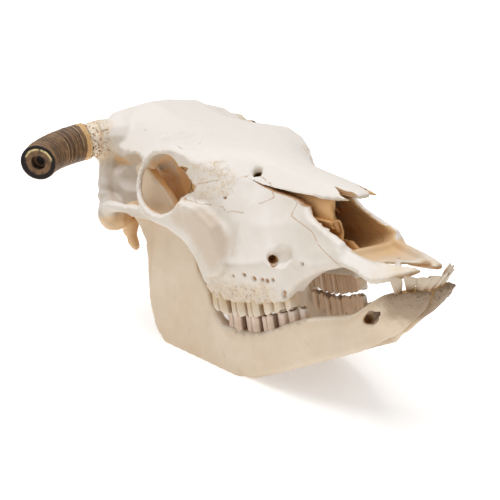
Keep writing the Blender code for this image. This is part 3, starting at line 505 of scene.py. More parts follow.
def levelled(mesh, pixel):
    """Bring the bone round a pixel onto the curved surface that fits the bone a little farther out."""
    points, normals = read_points(mesh), read_points(mesh, "normal")
    middle, facing = tree_of([mesh]).ray_cast(*seen_at(pixel))[:2]
    away = points - np.array(middle)
    distance = np.linalg.norm(away, axis=1) / MM
    near = (distance < LEVEL_RING) & (normals @ np.array(facing) > 0.3)
    first = np.cross(facing, (0.0, 0.0, 1.0))
    second = np.cross(facing, first)
    u, v, height = (away[near] @ np.array(way) / MM for way in (first, second, facing))
    terms = np.stack([np.ones(len(u)), u, v, u * u, u * v, v * v], axis=1)
    ring = (distance[near] > LEVEL_REACH) & (np.abs(height) < 0.5 * LEVEL_REACH)
    fit = terms @ np.linalg.lstsq(terms[ring], height[ring], rcond=None)[0]
    share = step(distance[near], LEVEL_REACH, 0.4 * LEVEL_REACH) * step(height - fit, -5.0, -3.0)
    points[near] += (share * (fit - height))[:, None] * np.array(facing) * MM
    write_points(mesh, points)


levelled(cranium.data, LEVELLED)
skin_tree = tree_of([cranium.data])
points, normals = read_points(cranium.data), read_points(cranium.data, "normal")
placed = to_skull(points)
x, y, z = np.abs(placed[:, 0]), placed[:, 1], placed[:, 2]
# The bone is porous over the cheek teeth and at the foot of the horns, and crackled in front of the orbit.
gums = step(y, 165, 190) * step(z, 30, 19) * step(y, 298, 290) * step(x, 42, 50)
stem = step(x, 76, 96) * step(y, 425, 445) * step(z, 150, 165)
crackle = step(y, 222, 242) * step(y, 303, 292) * step(z, 106, 120) * step(z, 158, 148) * step(x, 44, 52)
# The faces that the cuts laid open get their share of the hollows' stain and painted shade.
orbit_edge, nasal_edge = (np.all([(low < across) & (across < high) for across, (low, high) in zip((x, y, z), box)], 0)
                          for box in (ORBIT_EDGE, NASAL_EDGE))
fresh = orbit_edge | nasal_edge
hollows = np.empty(len(points), np.float32)
cranium.data.attributes["recess"].data.foreach_get("value", hollows)
hollows[fresh] = recess(points[fresh], normals[fresh], skin_tree)
# The orbit's inside and the nose's inner walls and floor were never bleached; they are painted brown, partly as old
# bone and partly as painted shade, and the orbit is painted darker towards its front.
socket = step(np.hypot((y - ORBIT_MIDDLE[1]) / ORBIT_HALF[0], (z - ORBIT_MIDDLE[2]) / ORBIT_HALF[1]), 1.02, 0.92)
hollows = np.maximum(hollows, socket * step(x, 84, 78) * step(x, 30, 40) * (0.72 + 0.2 * step(y, 325, 300)))
# Painted shade and brown are lessened on the temple behind the orbit.
hollows *= 1 - 0.6 * step(y, 354, 368) * step(z, 158, 146) * step(z, 100, 110) * step(x, 56, 62)
inward = -normals[:, 0] * np.sign(placed[:, 0])
lining = step(inward, 0.1, 0.5) * step(y, 175, 155) * step(z, 20, 28)
floor = step(placed[:, 0], 52, 44) * step(placed[:, 0], -34, -28) * step(z, 56, 48) * step(normals[:, 2], 0.2, 0.6)
floor *= step(y, 22, 45) * step(y, 175, 155)
hollows = np.maximum(hollows, (0.45 + 0.27 * step(y, 30, 110)) * np.maximum(lining, floor))
# Over the orbit's upper rim, outside the socket, the painted shade and brown are mostly taken away.
hollows *= 1 - 0.9 * (1 - socket) * step(x, 70, 76) * step(z, 158, 163) * step(y, 290, 300) * step(y, 345, 335)
# The bone behind the jaw joint, under the cheek's arch, is painted brown as painted shade.
behind = step(y, 335, 352) * step(z, 108, 92) * step(x, 40, 52)
hollows = np.maximum(hollows, 0.60 * behind)
carry(cranium.data, "recess", hollows)
# The rough cheek is painted tan, partly its own tone and partly painted shade.
scar_and_shade = spots(points, skin_tree, MUSCLE_SCAR_AND_SHADE_SPOTS, MUSCLE_REACH, soft=True)
carry(cranium.data, "muscle_scar_and_shade", np.maximum(scar_and_shade, 0.5 * gums))
carry(cranium.data, "stain", 0.5 * step(y, 50, 15))
carry(cranium.data, "side", side_tone_and_shade(normals))
lift = np.zeros(len(points))
for mask, size, height in ((gums, 5.0, 1.3), (stem, 3.0, 1.0), (crackle, 6.0, 0.7)):
    some = mask > 0.02
    lift[some] += mask[some] * height * rough(placed[some], size)
lift += 0.25 * rough(placed, 22.0, 2) + 0.8 * gums * step(z, 12, 6)
lift += ROOT_RIDGE * gums * (np.abs(np.sin(math.pi * (y - ROOT_START) / ROOT_PITCH)) - 0.5)
lift[orbit_edge] += 0.5 * rough(placed[orbit_edge], 4.0)
pits = np.zeros(len(points))
for pixel, radius, depth in SKULL_HOLES:
    inside = spots(points, skin_tree, [pixel], radius)
    lift -= depth * inside
    pits = np.maximum(pits, inside)
write_points(cranium.data, pushed_out(cranium.data, lift))
carry(cranium.data, "porous", np.maximum(0.7 * gums, stem))
carry(cranium.data, "crackle", crackle)
carry(cranium.data, "pit", pits)

IVORY, WARM_IVORY_AND_SHADE = (0.83, 0.77, 0.71), (0.55, 0.47, 0.37)
BONE_SHADE, DEEP_STAIN_AND_SHADE = (0.76, 0.46, 0.19), (0.54, 0.24, 0.06)
SUTURE_BROWN, PIT_BROWN, POROUS_TAN = (0.55, 0.31, 0.13), (0.50, 0.24, 0.08), (0.74, 0.58, 0.38)
CRACK_TAN, MUSCLE_TAN_AND_SHADE = (0.70, 0.47, 0.25), (0.58, 0.46, 0.34)


def bone_finish(name, light, warm_and_shade, sutures=(), roughness=0.5, porous=POROUS_TAN, streaks=0.0, pit=PIT_BROWN):
    """Dry bone: bleached where it is open, brown and dark in its hollows, partly stain and partly painted shade, with
    broken sutures, pits, holes and cracks.
    """
    finish = Finish(name, roughness=roughness)
    hollow, patch = finish.carried("recess"), finish.carried("porous")
    cloud, fine = finish.grain(9.0, 4.0), finish.grain(90.0, 5.0)
    scar_and_shade, streak = finish.carried("muscle_scar_and_shade"), finish.grain(26.0, 4.0, stretch=(1.0, 1.0, 0.3))
    # The warm layer paints the sides and the hollows warmer and darker, and the last two layers paint the hollows
    # brown and dark: partly the bone's own unbleached tone and stain, partly painted shade.
    layers = [(warm_and_shade, finish.carried("side") * 0.85 + (cloud - 0.47) * 1.8 + (hollow - 0.25) * 1.2),
              (porous, (patch + (fine - 0.5) * 1.4).between(0.2, 1.2) * 0.7),
              (MUSCLE_TAN_AND_SHADE, streak.between(0.45, 0.75) * streaks),
              (porous, (finish.carried("stain") + (fine - 0.5) * 0.8).between(0.0, 0.9) * 0.9),
              (MUSCLE_TAN_AND_SHADE, (scar_and_shade + (fine - 0.5) * 0.9 + (cloud - 0.5)).between(0.1, 1.1) * 0.8),
              (BONE_SHADE, (hollow + (cloud - 0.5) * 0.4).between(0.38, 0.80) * 0.9),
              (DEEP_STAIN_AND_SHADE, (hollow + (fine - 0.5) * 0.4).between(0.78, 1.05) * 0.75)]
    height = fine * 0.4 + finish.grain(420.0, 2.0) * 0.2
    shift, whole = finish.grain(230.0) - 0.5, finish.grain(60.0, 2.0)
    for suture, wander, gap in sutures:
        line, broken = abs(finish.carried(suture) + shift * wander), whole.between(gap, gap + 0.12)
        layers.append((SUTURE_BROWN, line.between(0.7, 0.1) * broken * 0.75))
        height = height - line.between(0.9, 0.1) * broken * 0.5
    shaken = finish.add("ShaderNodeTexNoise", None, {"Vector": finish.place(), "Scale": 160.0}, output=1)
    shaken = finish.add("ShaderNodeVectorMath", {"operation": "MULTIPLY_ADD"},
                        {0: shaken, 1: (0.006,) * 3, 2: finish.place()})
    cells = finish.add("ShaderNodeTexVoronoi", None, {"Vector": shaken, "Scale": 380.0})
    holes = (cells + (finish.grain(140.0, 1.0) - 0.5) * 1.3).between(0.24, 0.06)
    holes = holes * (patch + (cloud - 0.5) * 0.6).between(0.4, 0.85)
    cracks = finish.add("ShaderNodeTexVoronoi", {"feature": "DISTANCE_TO_EDGE"}, {"Vector": shaken, "Scale": 240.0})
    flaky = (finish.carried("crackle") + (cloud - 0.5) * 0.8).between(0.4, 0.8)
    cracks = cracks.between(0.08, 0.0) * flaky * finish.grain(110.0, 2.0).between(0.40, 0.60)
    dark = holes.math("MAXIMUM", finish.carried("pit").between(0.3, 0.9))
    finish.coloured(light, *layers, (POROUS_TAN, flaky * fine.between(0.4, 0.7) * 0.45),
                    (CRACK_TAN, cracks * 0.9), (pit, dark * 0.85))
    finish.raised(height + (flaky + scar_and_shade) * fine * 0.8 - holes * 0.9 - cracks * 0.3, 0.9 * MM)
    return finish.material


dressed(cranium, bone_finish("bleached_bone", IVORY, WARM_IVORY_AND_SHADE, SUTURES), "cranium_bone", *BONES)


# The turbinates and the vomer: the paper-thin scrolled and upright bones inside the nose. They were never bleached,
# so they are still the orange brown of old bone, and their free edges are crumbled.
THIN_GRAIN, THIN_ROUNDS = 1.2, 5
CRUMBLE, END_CRUMBLE, CRUMBLE_SIZE = 0.35, 1.6, 7.0
OLD_BONE, OLD_BONE_LIGHT = (0.64, 0.33, 0.11), (0.78, 0.49, 0.23)

# Sections of the upper scroll, as (distance from the middle, depth below the roof's side edge), and its two ends.
ROOF_EDGE = ((80, 99), (140, 108), (193, 119), (225, 130), (262, 150))
SCROLL = ((10, 2), (16, 4), (19, 10), (20, 18), (18.5, 28), (15, 37), (11, 41))
SCROLL_THICK, SCROLL_STEPS, SCROLL_END, SCROLL_RECESS = 1.3, 60, 236.0, 0.45
SCROLL_START = {"right": 113.0, "left": 172.0}

thin_bone = bone_finish("thin_bone", OLD_BONE_LIGHT, OLD_BONE, roughness=0.65)


def crumbled(piece, node):
    """Roughen a thin bone, most along its free ends."""
    placed = to_skull(read_points(piece.data))
    for axis in range(3):
        placed[:, axis] += (END_CRUMBLE if axis == 1 else CRUMBLE) * rough(placed + 50.0 * axis, CRUMBLE_SIZE)
    write_points(piece.data, to_row(placed))
    dressed(piece, thin_bone, "thin_bone", node)


def scroll_rings(sign, start):
    """Rings along a thin curved plate that hangs beside the middle of the nose."""
    hook = np.array(SCROLL, float)
    along = np.gradient(hook, axis=0)
    across = np.stack([along[:, 1], -along[:, 0]], axis=1) / np.linalg.norm(along, axis=1)[:, None]
    outline = np.concatenate([hook + 0.5 * SCROLL_THICK * across, (hook - 0.5 * SCROLL_THICK * across)[::-1]])
    return [[(sign * x, y, value(ROOF_EDGE, y) - depth) for x, depth in outline]
            for y in np.linspace(start, SCROLL_END, SCROLL_STEPS)]


for node in ("turbinate_right", "turbinate_left", "vomer"):
    crumbled(bone_skin("thin_" + node, (node,), THIN_GRAIN, THIN_ROUNDS), node)
for side, sign in SIDES.items():
    scroll = new_object("upper_scroll_" + side, skinned("scroll", scroll_rings(sign, SCROLL_START[side])))
    changed(scroll, "SUBSURF", levels=1)
    # The upper scroll is given one level of the hollows' brown, partly stain and partly painted shade.
    carry(scroll.data, "recess", np.full(len(scroll.data.vertices), SCROLL_RECESS))
    crumbled(scroll, "turbinate_" + side)


# The cheek teeth, six on each side above and below: three premolars and three molars that stand close together.
# Their enamel is ridged down the side, stained yellow at the neck above, and grey brown all over below.
TOOTH_LENGTHS = (12, 14, 15, 24, 28, 30)
ROW_START = {"upper": 165.0, "lower": 156.0}
ROW_X = {"upper": (44, 63), "lower": (36.5, 56)}
TOOTH_WIDTHS = {"upper": (15, 21), "lower": (9, 14)}
UPPER_GUM, LOWER_GUM_BELOW_TOP = 19.0, 8.0
BITE_GAP = {"right": 0.7, "left": 2.4}
GRINDING_LINE = ((143, -8), (160, -6), (180, -9), (215, -13.5), (245, -13), (270, -9), (288, -4))
JAW_TOP = ((-10, 9), (8, 9), (28, 8), (46, 5), (71, -5), (95, -15), (146, -17), (182, -24), (209, -31), (231, -33),
           (259, -30), (288, -22), (300, -12))
TOOTH_SIDES, TOOTH_RINGS, TOOTH_GAP = 64, 16, 0.9
TOOTH_TOP = (0.93, 0.8, 0.55, 0.25)
TOOTH_WEAR, INCISOR_WEAR = (0.22, 5.0), (0.3, 4.0)
TOOTH_SHIFTS = (0.0, 0.7, -0.5, 0.6, -0.4, 0.3)
CUSP_HEIGHT, CUSP_LENGTH, BOWL_DEPTH = 3.2, 13.0, 2.0


def tooth_rings(kind, x, start, length, width, lobes, gap):
    """The rings of one cheek tooth. Each point notes its share of the way to the bite, how deep it is in a groove,
    whether it faces the tongue, and how near it is to the front of the row."""
    upper = kind == "upper"
    middle = start + 0.5 * length
    gum = UPPER_GUM if upper else value(JAW_TOP, middle) - LOWER_GUM_BELOW_TOP
    a = 2 * math.pi * (np.arange(TOOTH_SIDES) + 0.5) / TOOTH_SIDES
    c, s = np.cos(a), np.sin(a)
    across = np.sign(c) * np.abs(c) ** 0.5 * 0.5 * width
    along = np.sign(s) * np.abs(s) ** 0.75 * 0.5 * (length - TOOTH_GAP)
    place = along / length
    groove = (1.0 if lobes == 2 else 0.4) * np.abs(np.cos(2 * math.pi * place)) ** 8
    ridge = np.cos(4 * math.pi * lobes * place) * np.abs(c)
    rings, marks = [], []
    levels = [(share, 1.0) for share in np.linspace(0, 1, TOOTH_RINGS)] + [(1.0, scale) for scale in TOOTH_TOP]
    for share, scale in levels:
        swell = scale * (0.86 + 0.12 * step(share, 0.0, 0.45) - 0.05 * step(share, 0.93, 1.0))
        px = across * swell * (1 - 0.32 * groove * (0.5 + 0.5 * share)) + 0.55 * ridge * scale
        y = middle + along * swell
        cusp = CUSP_HEIGHT * np.abs(np.sin(math.pi * (y - ROW_START["upper"]) / CUSP_LENGTH)) - 0.5 * CUSP_HEIGHT
        bowl = BOWL_DEPTH * step(scale, 0.93, 0.4)
        crown = value(GRINDING_LINE, y) - cusp + (gap + bowl) * (1 if upper else -1)
        rings.append(np.stack([x + px, y, gum + (crown - gum) * share], axis=1))
        bite = share if scale == 1.0 else 1.2 - 0.2 * scale
        marks.append(np.stack([np.full(TOOTH_SIDES, bite), groove, step(-c, 0.1, 0.5), step(y, 200, 165)], axis=1))
    return rings, np.concatenate(marks)


TONGUE_BROWN = (0.74, 0.55, 0.38)


def tooth_finish(name, enamel, stain, groove_stain_and_shade, stained, pale):
    """Old enamel: glossy and crazed, stained towards the neck, dark on the grinding face, and dark in the grooves and
    the gaps between teeth, partly stain and partly painted shade.
    """
    finish = Finish(name, roughness=0.34, Coat_Weight=0.15)
    crown, groove = finish.carried("crown"), finish.carried("groove")
    streak, fine = finish.grain(150.0, 4.0, stretch=(1.0, 1.0, 0.25)), finish.grain(60.0, 4.0)
    finish.coloured(enamel, (pale, finish.carried("front") * 0.8),
                    (stain, (fine + (stained - crown)).between(0.35, 0.95) * 0.85),
                    (TONGUE_BROWN, finish.carried("inner") * (fine * 0.5 + 0.6)),
                    (groove_stain_and_shade, (groove + (streak - 0.5) * 0.8).between(0.35, 0.9) * 0.8),
                    (groove_stain_and_shade, crown.between(1.03, 1.08) * 0.7))
    finish.raised(streak * 0.5 + fine * 0.3, 0.5 * MM)
    return finish.material


enamels = {"upper": tooth_finish("upper_enamel", enamel=(0.69, 0.59, 0.46), stain=(0.58, 0.42, 0.24),
                                 groove_stain_and_shade=(0.26, 0.14, 0.06), stained=0.95, pale=(0.68, 0.58, 0.46)),
           "lower": tooth_finish("lower_enamel", enamel=(0.76, 0.59, 0.47), stain=(0.56, 0.40, 0.28),
                                 groove_stain_and_shade=(0.16, 0.08, 0.04), stained=0.9, pale=(0.62, 0.58, 0.51))}


def tooth_row(kind, side):
    """All six cheek teeth of one row as one piece."""
    sign = SIDES[side]
    shapes, marks, start = [], [], ROW_START[kind]
    for k, length in enumerate(TOOTH_LENGTHS):
        share = k / (len(TOOTH_LENGTHS) - 1)
        x = np.interp(share, (0, 1), ROW_X[kind]) + TOOTH_SHIFTS[k]
        width = np.interp(1.6 * share, (0, 1), TOOTH_WIDTHS[kind])
        rings, mark = tooth_rings(kind, x, start, length, width, 1 if k < 3 else 2, BITE_GAP[side])
        shapes.append([ring * (sign, 1, 1) for ring in rings])
        marks.append(mark)
        start += length
    row = new_object(kind + "_cheek_teeth_" + side, skinned("teeth", *shapes))
    for name, column in zip(("crown", "groove", "inner", "front"), np.concatenate(marks).T):
        carry(row.data, name, column)
    worn(row.data, *TOOTH_WEAR)
    slot, bone = ("cranium_bone", "maxilla_") if kind == "upper" else ("jaw_bone", "mandible_")
    dressed(row, enamels[kind], slot, bone + side)


for kind in ("upper", "lower"):
    for side in SIDES:
        tooth_row(kind, side)


# The lower jaw: two mandibles that meet at the chin. Each is a heavy smooth bone with a hole for the nerve of the
# chin, and its front end is pitted and worn round the roots of the incisors.
JAW_GRAIN, JAW_ROUNDS = 2.0, 14
CHEEK_TEETH_CUT = ((154.5, -18.2), (182, -23.5), (209, -30.5), (231, -32.5), (259, -29.5), (280.5, -24), (280.5, 8),
                   (154.5, 8))
INCISOR_CUT = ((-40, -20), (-4.7, -20), (-4.7, 9.7), (8, 9.7), (28, 8.7), (46, 5.7), (60, 0.3), (60, 60), (-40, 60))
CHEEK_TEETH_SPAN, INCISOR_SPAN = (10, 90), (-5, 90)
JAW_BONE, JAW_WARM_AND_SHADE, CHIN_GREY = (0.74, 0.64, 0.52), (0.60, 0.45, 0.295), (0.25, 0.165, 0.095)
HOLE_SHADE = (0.13, 0.055, 0.018)
# The hole for the chin's nerve as pixels round it, and in metres its depth and how wide and how far in it is dark.
CHIN_HOLE = ((363.8, 322.0), (364.8, 317.0), (369.0, 313.8), (375, 311.8), (380.4, 311.6), (380.6, 314.6),
             (376.5, 319.4), (372.5, 323.4), (368.0, 325.2))
CHIN_HOLE_DEPTH, CHIN_SHADE_REACH, CHIN_SHADE = 0.015, 0.0068, (0.00525, 0.0405)
FLOOR_ROOM = 0.15

jaw_bone = bone_finish("jaw_bone", JAW_BONE, JAW_WARM_AND_SHADE, porous=CHIN_GREY, streaks=0.45, pit=HOLE_SHADE)
for side, sign in SIDES.items():
    jaw = bone_skin("mandible_skin_" + side, ("mandible_" + side,), JAW_GRAIN, JAW_ROUNDS, cutters=[
        slab(CHEEK_TEETH_CUT, *CHEEK_TEETH_SPAN, sign), slab(INCISOR_CUT, *INCISOR_SPAN, sign)])
    changed(jaw, "SUBSURF", levels=1)
    if side == "right":
        jaw_tree, before = tree_of([jaw.data]), {v.co.to_tuple(6) for v in jaw.data.vertices}
        start, middle = seen_at(np.mean(CHIN_HOLE, axis=0))
        reach = min((jaw_tree.ray_cast(*seen_at(pixel))[0] - start).length for pixel in CHIN_HOLE)
        cut_away(jaw, [to_skull([start + seen_at(pixel)[1] * (reach + way) for pixel in CHIN_HOLE])
                       for way in (-2 * CHIN_HOLE_DEPTH, CHIN_HOLE_DEPTH)])
        bored = {v.co.to_tuple(6) for v in jaw.data.vertices} - before
    placed = to_skull(read_points(jaw.data))
    y, z = placed[:, 1], placed[:, 2]
    chin = step(y, 38, 18) * step(z, -14, -2)
    gums = step(y, 140, 150) * step(y, 290, 275) * step(z - value(JAW_TOP, y), -7, -1)
    carry(jaw.data, "porous", np.maximum(0.7 * chin, 0.6 * gums))
    # The jaw's front, low under the incisors, is painted grey brown, partly a stain and partly painted shade where it
    # faces down.
    carry(jaw.data, "stain", step(y, 72, 8) * step(z, -40, -10))
    carry(jaw.data, "side", side_tone_and_shade(read_points(jaw.data, "normal")))
    lift = 0.3 * rough(placed, 20.0, 2) + (chin + 0.7 * gums) * rough(placed, 4.0)
    if side == "right":
        away = read_points(jaw.data) - np.array(start)
        depth = away @ np.array(middle)
        aside = np.linalg.norm(away - depth[:, None] * np.array(middle), axis=1)
        inside = (aside < CHIN_SHADE_REACH) & (depth > reach + CHIN_SHADE[0]) & (depth < reach + CHIN_SHADE[1])
        carry(jaw.data, "pit", inside | np.array([v.co.to_tuple(6) in bored for v in jaw.data.vertices]))
    points = pushed_out(jaw.data, lift)
    points[:, 2] = np.maximum(points[:, 2], FLOOR_ROOM * MM)
    write_points(jaw.data, points)
    dressed(jaw, jaw_bone, "jaw_bone", "mandible_" + side)


# The incisors: eight worn blades that fan out from the end of the lower jaw and lap over one another. They are a
# brown ivory, darker towards the root.
INCISOR_TIPS = ((6.9, -18, 22), (17, -14, 23), (26, -6, 24.5), (33, 7, 25.5))
INCISOR_ROOTS = ((5.2, 1, 8), (11.5, 3, 9), (18.5, 8, 9.5), (26, 16, 10))
INCISOR_WIDTH, INCISOR_THICK, INCISOR_LAP, INCISOR_SIDES = 12.4, 4.8, 0.5, 24
INCISOR_PROFILE = ((-0.30, 0.52, 0.9), (0.0, 0.60, 1.0), (0.25, 0.70, 1.0), (0.5, 0.88, 0.95), (0.72, 1.0, 0.75),
                   (0.88, 1.02, 0.5), (0.96, 1.0, 0.34), (1.0, 0.93, 0.15))


def incisor_rings(k):
    """The rings of one blade, from its root in the jaw to its edge, turned to lie along the arch of the teeth."""
    tip, root = Vector(INCISOR_TIPS[k]), Vector(INCISOR_ROOTS[k])
    along = (tip - root).normalized()
    arch = Vector(INCISOR_TIPS[min(k + 1, 3)]) - Vector(INCISOR_TIPS[max(k - 1, 0)])
    face = along.cross(arch).normalized()
    side = face.cross(along)
    rings = []
    for share, width, thick in INCISOR_PROFILE:
        middle = root + (tip - root) * share + face * (INCISOR_LAP * (-1) ** k)
        rings.append([tuple(middle + side * (0.5 * INCISOR_WIDTH * width * math.cos(a))
                            + face * (0.5 * INCISOR_THICK * thick * math.sin(a)))
                      for a in (2 * math.pi * k / INCISOR_SIDES for k in range(INCISOR_SIDES))])
    return rings


incisor_enamel = tooth_finish("incisor_enamel", enamel=(0.50, 0.40, 0.29), stain=(0.42, 0.27, 0.15),
                              groove_stain_and_shade=(0.28, 0.15, 0.07), stained=0.45, pale=(0.62, 0.58, 0.51))
for side, sign in SIDES.items():
    shapes = [np.array(incisor_rings(k)) * (sign, 1, 1) for k in range(len(INCISOR_TIPS))]
    incisors = new_object("incisors_" + side, skinned("incisors", *shapes))
    crowns = np.repeat(np.tile([share for share, _, _ in INCISOR_PROFILE], len(shapes)), INCISOR_SIDES)
    carry(incisors.data, "crown", 0.9 * crowns)
    changed(incisors, "SUBSURF", levels=2)
    worn(incisors.data, *INCISOR_WEAR)
    dressed(incisors, incisor_enamel, "jaw_bone", "mandible_" + side)


# The horn cores: porous bone that grows out of the skull's corners and fills the horn. It shows between the skull
# and the sheath, tan and full of small holes, and again as a brown fibrous disc where the horn was cut.
HORN_BASE = {"right": (113, 464.5, 185.5), "left": (110, 465, 180)}
HORN_LENGTH, HORN_BEND = 88.0, 50.0
HORN_RADIUS, HORN_END_RADIUS = 21.8, 20.2
SHEATH_WALL, SHEATH_END_WALL = 5.0, 12.0
HORN_DROOP = {"right": 10.0, "left": 24.0}
HORN_ROLL = {"right": 14.0, "left": 82.0}
CORE_SIDES, CORE_START, CORE_INSIDE, CORE_END = 96, -26.0, 1.5, 79.0
CORE_RADIUS, CORE_ROOM = 20.0, 0.4
# The rings that close the core's cut end: the share of its radius, and how near to the middle, where the core's
# hollow is painted black as painted shade.
CORE_FACE = ((0.75, 0.25), (0.4, 0.75), (0.15, 1.0))
CORE_CREAM, CORE_TAN, CORE_BROWN = (0.90, 0.79, 0.64), (0.84, 0.63, 0.43), (0.20, 0.11, 0.05)
HOLE_BROWN, CORE_HOLLOW_SHADE = (0.56, 0.27, 0.11), (0.012, 0.008, 0.006)


def horn_rings(side, places, radii, sides):
    """Rings round the horn's curved middle line; each radius is one number or one for each point."""
    sign = SIDES[side]
    droop, roll = math.radians(HORN_DROOP[side]), math.radians(HORN_ROLL[side])
    out = np.array((sign * math.cos(droop), 0, -math.sin(droop)))
    down = np.array((-sign * math.sin(droop), 0, -math.cos(droop)))
    bend = np.array((0, -1, 0)) * math.cos(roll) + down * math.sin(roll)
    base = np.array(HORN_BASE[side]) * (sign, 1, 1)
    total = math.radians(HORN_BEND)
    arc = HORN_LENGTH / total
    a = 2 * math.pi * np.arange(sides) / sides
    rings = []
    for along, radius in zip(places, radii):
        turn = total * max(along, 0.0) / HORN_LENGTH
        middle = base + out * (arc * math.sin(turn) + min(along, 0.0)) + bend * (arc * (1 - math.cos(turn)))
        forward = out * math.cos(turn) + bend * math.sin(turn)
        second = np.cross(forward, np.cross(out, bend))
        third = np.cross(forward, second)
        spread = np.outer(np.cos(a), second) + np.outer(np.sin(a), third)
        rings.append(middle + spread * np.broadcast_to(radius, sides)[:, None])
    return rings


def sheath_radius(along):
    """The sheath's outer radius at a distance from its base."""
    return HORN_RADIUS + (HORN_END_RADIUS - HORN_RADIUS) * along / HORN_LENGTH


def hole_radius(along):
    """The sheath's inner radius at a distance from its base."""
    return sheath_radius(along) - SHEATH_WALL - (SHEATH_END_WALL - SHEATH_WALL) * along / HORN_LENGTH


def core_finish():
    """Porous bone, tan outside and brown at the cut end."""
    finish = Finish("horn_core_bone", roughness=0.8)
    fine = finish.grain(130.0, 5.0)
    cells = finish.add("ShaderNodeTexVoronoi", None, {"Vector": finish.place(), "Scale": 260.0})
    holes = (cells + (fine - 0.5) * 1.2).between(0.34, 0.14)
    finish.coloured(CORE_CREAM, (CORE_TAN, (fine - 0.4) * 2.6), (HOLE_BROWN, holes * 0.8),
                    (CORE_BROWN, (finish.carried("cut") + (fine - 0.5) * 0.6).between(0.3, 0.8)),
                    # The middle of the cut is painted black: painted shade in the core's hollow.
                    (CORE_HOLLOW_SHADE, (finish.carried("hollow_shade") + (fine - 0.5) * 0.7).between(0.25, 0.6)))
    finish.raised(fine - holes * 1.5, 1.2 * MM)
    return finish.material


core_bone = core_finish()
for side in SIDES:
    places = [*np.linspace(CORE_START, 0.0, 40), *np.linspace(CORE_INSIDE, CORE_END, 50)]
    radii = [CORE_RADIUS if along < CORE_INSIDE else hole_radius(along) - CORE_ROOM for along in places]
    hollow_shades = [0.0] * len(places) + [hollow_shade for _, hollow_shade in CORE_FACE]
    places += [CORE_END] * len(CORE_FACE)
    radii += [share * radii[-1] for share, _ in CORE_FACE]
    core = new_object("horn_core_bone_" + side, skinned("core", horn_rings(side, places, radii, CORE_SIDES)))
    inner = np.repeat(np.array(places) >= CORE_INSIDE, CORE_SIDES)
    carry(core.data, "cut", inner)
    carry(core.data, "hollow_shade", np.repeat(hollow_shades, CORE_SIDES))
    placed = to_skull(read_points(core.data))
    lift = np.where(inner, 0.25, 1.1) * rough(placed, 4.0)
    lift -= np.where(inner, 0.0, 0.8) * np.maximum(rough(placed, 9.0), 0)
    write_points(core.data, pushed_out(core.data, lift))
    dressed(core, core_bone, "horn_core", "horn_core_" + side)


# The horn sheaths: dark keratin, laid down in fine rings, sawn off a hand's breadth from the skull. The rim at the
# base is dry, flaky and yellow, and the sawn face shows a black wall, a pale arc above and a brown middle.
SHEATH_SIDES, SHEATH_STEPS, FACE_STEPS, HOLE_STEPS = 120, 150, 16, 40
RING_HEIGHT, RING_PITCH = 0.5, 2.3
BASE_BAND, BASE_FRAY, FRAY_LENGTH = 9.0, 2.2, 6.0
SHEATH_RELIEF, BASE_RELIEF = 0.25, 0.5
HORN_BLACK, HORN_BROWN, HORN_GREY = (0.03, 0.017, 0.010), (0.29, 0.15, 0.06), (0.48, 0.34, 0.19)
HORN_TAN, HORN_STRAW, HORN_PALE = (0.66, 0.40, 0.17), (0.84, 0.63, 0.37), (0.72, 0.58, 0.28)
SAWN_BLACK, SAWN_BROWN = (0.010, 0.006, 0.005), (0.20, 0.11, 0.055)


def horn_finish():
    """Weathered keratin: rings of black, brown and grey, a tan band at the base, a pale arc in the sawn face."""
    finish = Finish("horn_keratin", roughness=0.5)
    along, face = finish.carried("along"), finish.carried("face")
    patch, fine = finish.grain(28.0, 4.0), finish.grain(170.0, 5.0)
    ring = finish.add("ShaderNodeTexNoise", {"noise_dimensions": "2D"}, {
        "Vector": finish.add("ShaderNodeCombineXYZ", None, {"X": along * 0.55, "Y": patch * 3.0}),
        "Scale": 1.0, "Detail": 5.0, "Roughness": 0.7})
    edge = along + (patch - 0.5) * 8.0 + (fine - 0.5) * 5.0
    wall = face + (patch - 0.5) * 0.3 + (fine - 0.5) * 0.12
    pale = wall.between(0.30, 0.38) * wall.between(0.58, 0.44) * (patch + (fine - 0.5) * 1.6).between(0.30, 0.62)
    sawn = finish.layered(SAWN_BLACK, (SAWN_BROWN, wall.between(0.36, 0.55) * fine.between(0.2, 0.6)),
                          (HORN_PALE, pale * finish.carried("top")), (SAWN_BLACK, wall.between(0.92, 1.08)))
    finish.coloured(HORN_BLACK, (HORN_BROWN, ring.between(0.38, 0.62)),
                    (HORN_GREY, (ring + (fine - 0.5) * 0.5).between(0.55, 0.75) * 0.75),
                    (HORN_TAN, edge.between(BASE_BAND + 1.0, BASE_BAND - 1.5)),
                    (HORN_STRAW, (edge + (fine - 0.5) * 6.0).between(3.5, 0.5) * 0.7),
                    (sawn, face.between(0.0, 0.02)))
    finish.feed(finish.surface.inputs["Roughness"], 0.38 + fine * 0.25 + face.between(0.0, 0.02) * 0.4)
    finish.raised(ring * 0.7 + fine * 0.5, 0.6 * MM)
    return finish.material


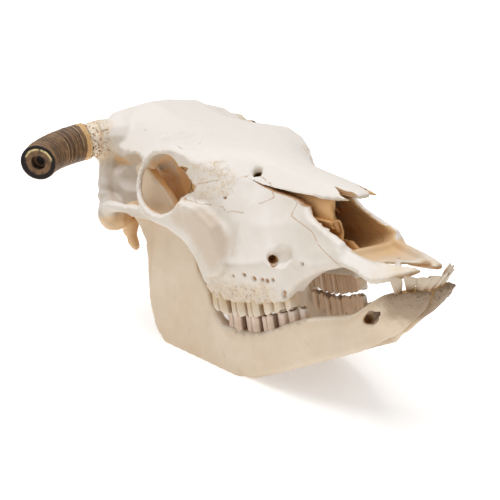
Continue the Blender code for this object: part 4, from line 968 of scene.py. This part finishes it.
keratin = horn_finish()
for side in SIDES:
    a = 2 * math.pi * np.arange(SHEATH_SIDES) / SHEATH_SIDES
    fray = np.array([noise.fractal(Vector((3 * math.cos(t), 3 * math.sin(t), 1.0)), 1.0, 2.0, 4) for t in a])
    places = np.linspace(0.0, HORN_LENGTH, SHEATH_STEPS)
    waves = np.array([noise.fractal(Vector((s / RING_PITCH, 0.0, 7.0)), 0.8, 2.0, 3) for s in places])
    ends = np.linspace(1.0, hole_radius(HORN_LENGTH) / HORN_END_RADIUS, FACE_STEPS)[1:]
    rows = horn_rings(side, places, sheath_radius(places) + RING_HEIGHT * waves, SHEATH_SIDES)
    rows += horn_rings(side, [HORN_LENGTH] * len(ends), ends * HORN_END_RADIUS, SHEATH_SIDES)
    back = np.linspace(HORN_LENGTH, 0.0, HOLE_STEPS)[1:]
    rows += horn_rings(side, back, hole_radius(back), SHEATH_SIDES)
    sheath = new_object("horn_sheath_skin_" + side, skinned("sheath", rows + [rows[0]]))
    with edited(sheath.data) as bm:
        bmesh.ops.delete(bm, geom=[f for f in bm.faces if len(f.verts) > 4], context="FACES_ONLY")
        bmesh.ops.remove_doubles(bm, verts=bm.verts, dist=WELD_REACH * MM)
        bmesh.ops.recalc_face_normals(bm, faces=bm.faces)
    along = np.concatenate([places, [HORN_LENGTH] * len(ends), back])
    face = np.concatenate([np.zeros(len(places)), (1 - ends) / (1 - ends[-1]) * 0.96 + 0.04, np.ones(len(back))])
    carry(sheath.data, "along", np.repeat(along, SHEATH_SIDES))
    carry(sheath.data, "face", np.repeat(face, SHEATH_SIDES))
    placed = to_skull(read_points(sheath.data))
    end = placed[np.repeat(along == HORN_LENGTH, SHEATH_SIDES)].mean(axis=0)
    carry(sheath.data, "top", step(placed[:, 2] - end[2], -2.0, 6.0))
    lift = np.repeat(np.where(along < BASE_BAND, BASE_RELIEF, SHEATH_RELIEF), SHEATH_SIDES) * rough(placed, 5.0)
    foot, ahead = (to_row(ring) for ring in horn_rings(side, (0.0, 1.0), (0.0, 0.0), 1))
    way = (ahead - foot) / np.linalg.norm(ahead - foot)
    loose = np.repeat(step(along, FRAY_LENGTH, 0.0), SHEATH_SIDES) * np.tile(fray, len(along)) * BASE_FRAY
    write_points(sheath.data, pushed_out(sheath.data, lift) + way * loose[:, None] * MM)
    dressed(sheath, keratin, "horn_sheath", "horn_sheath_" + side)
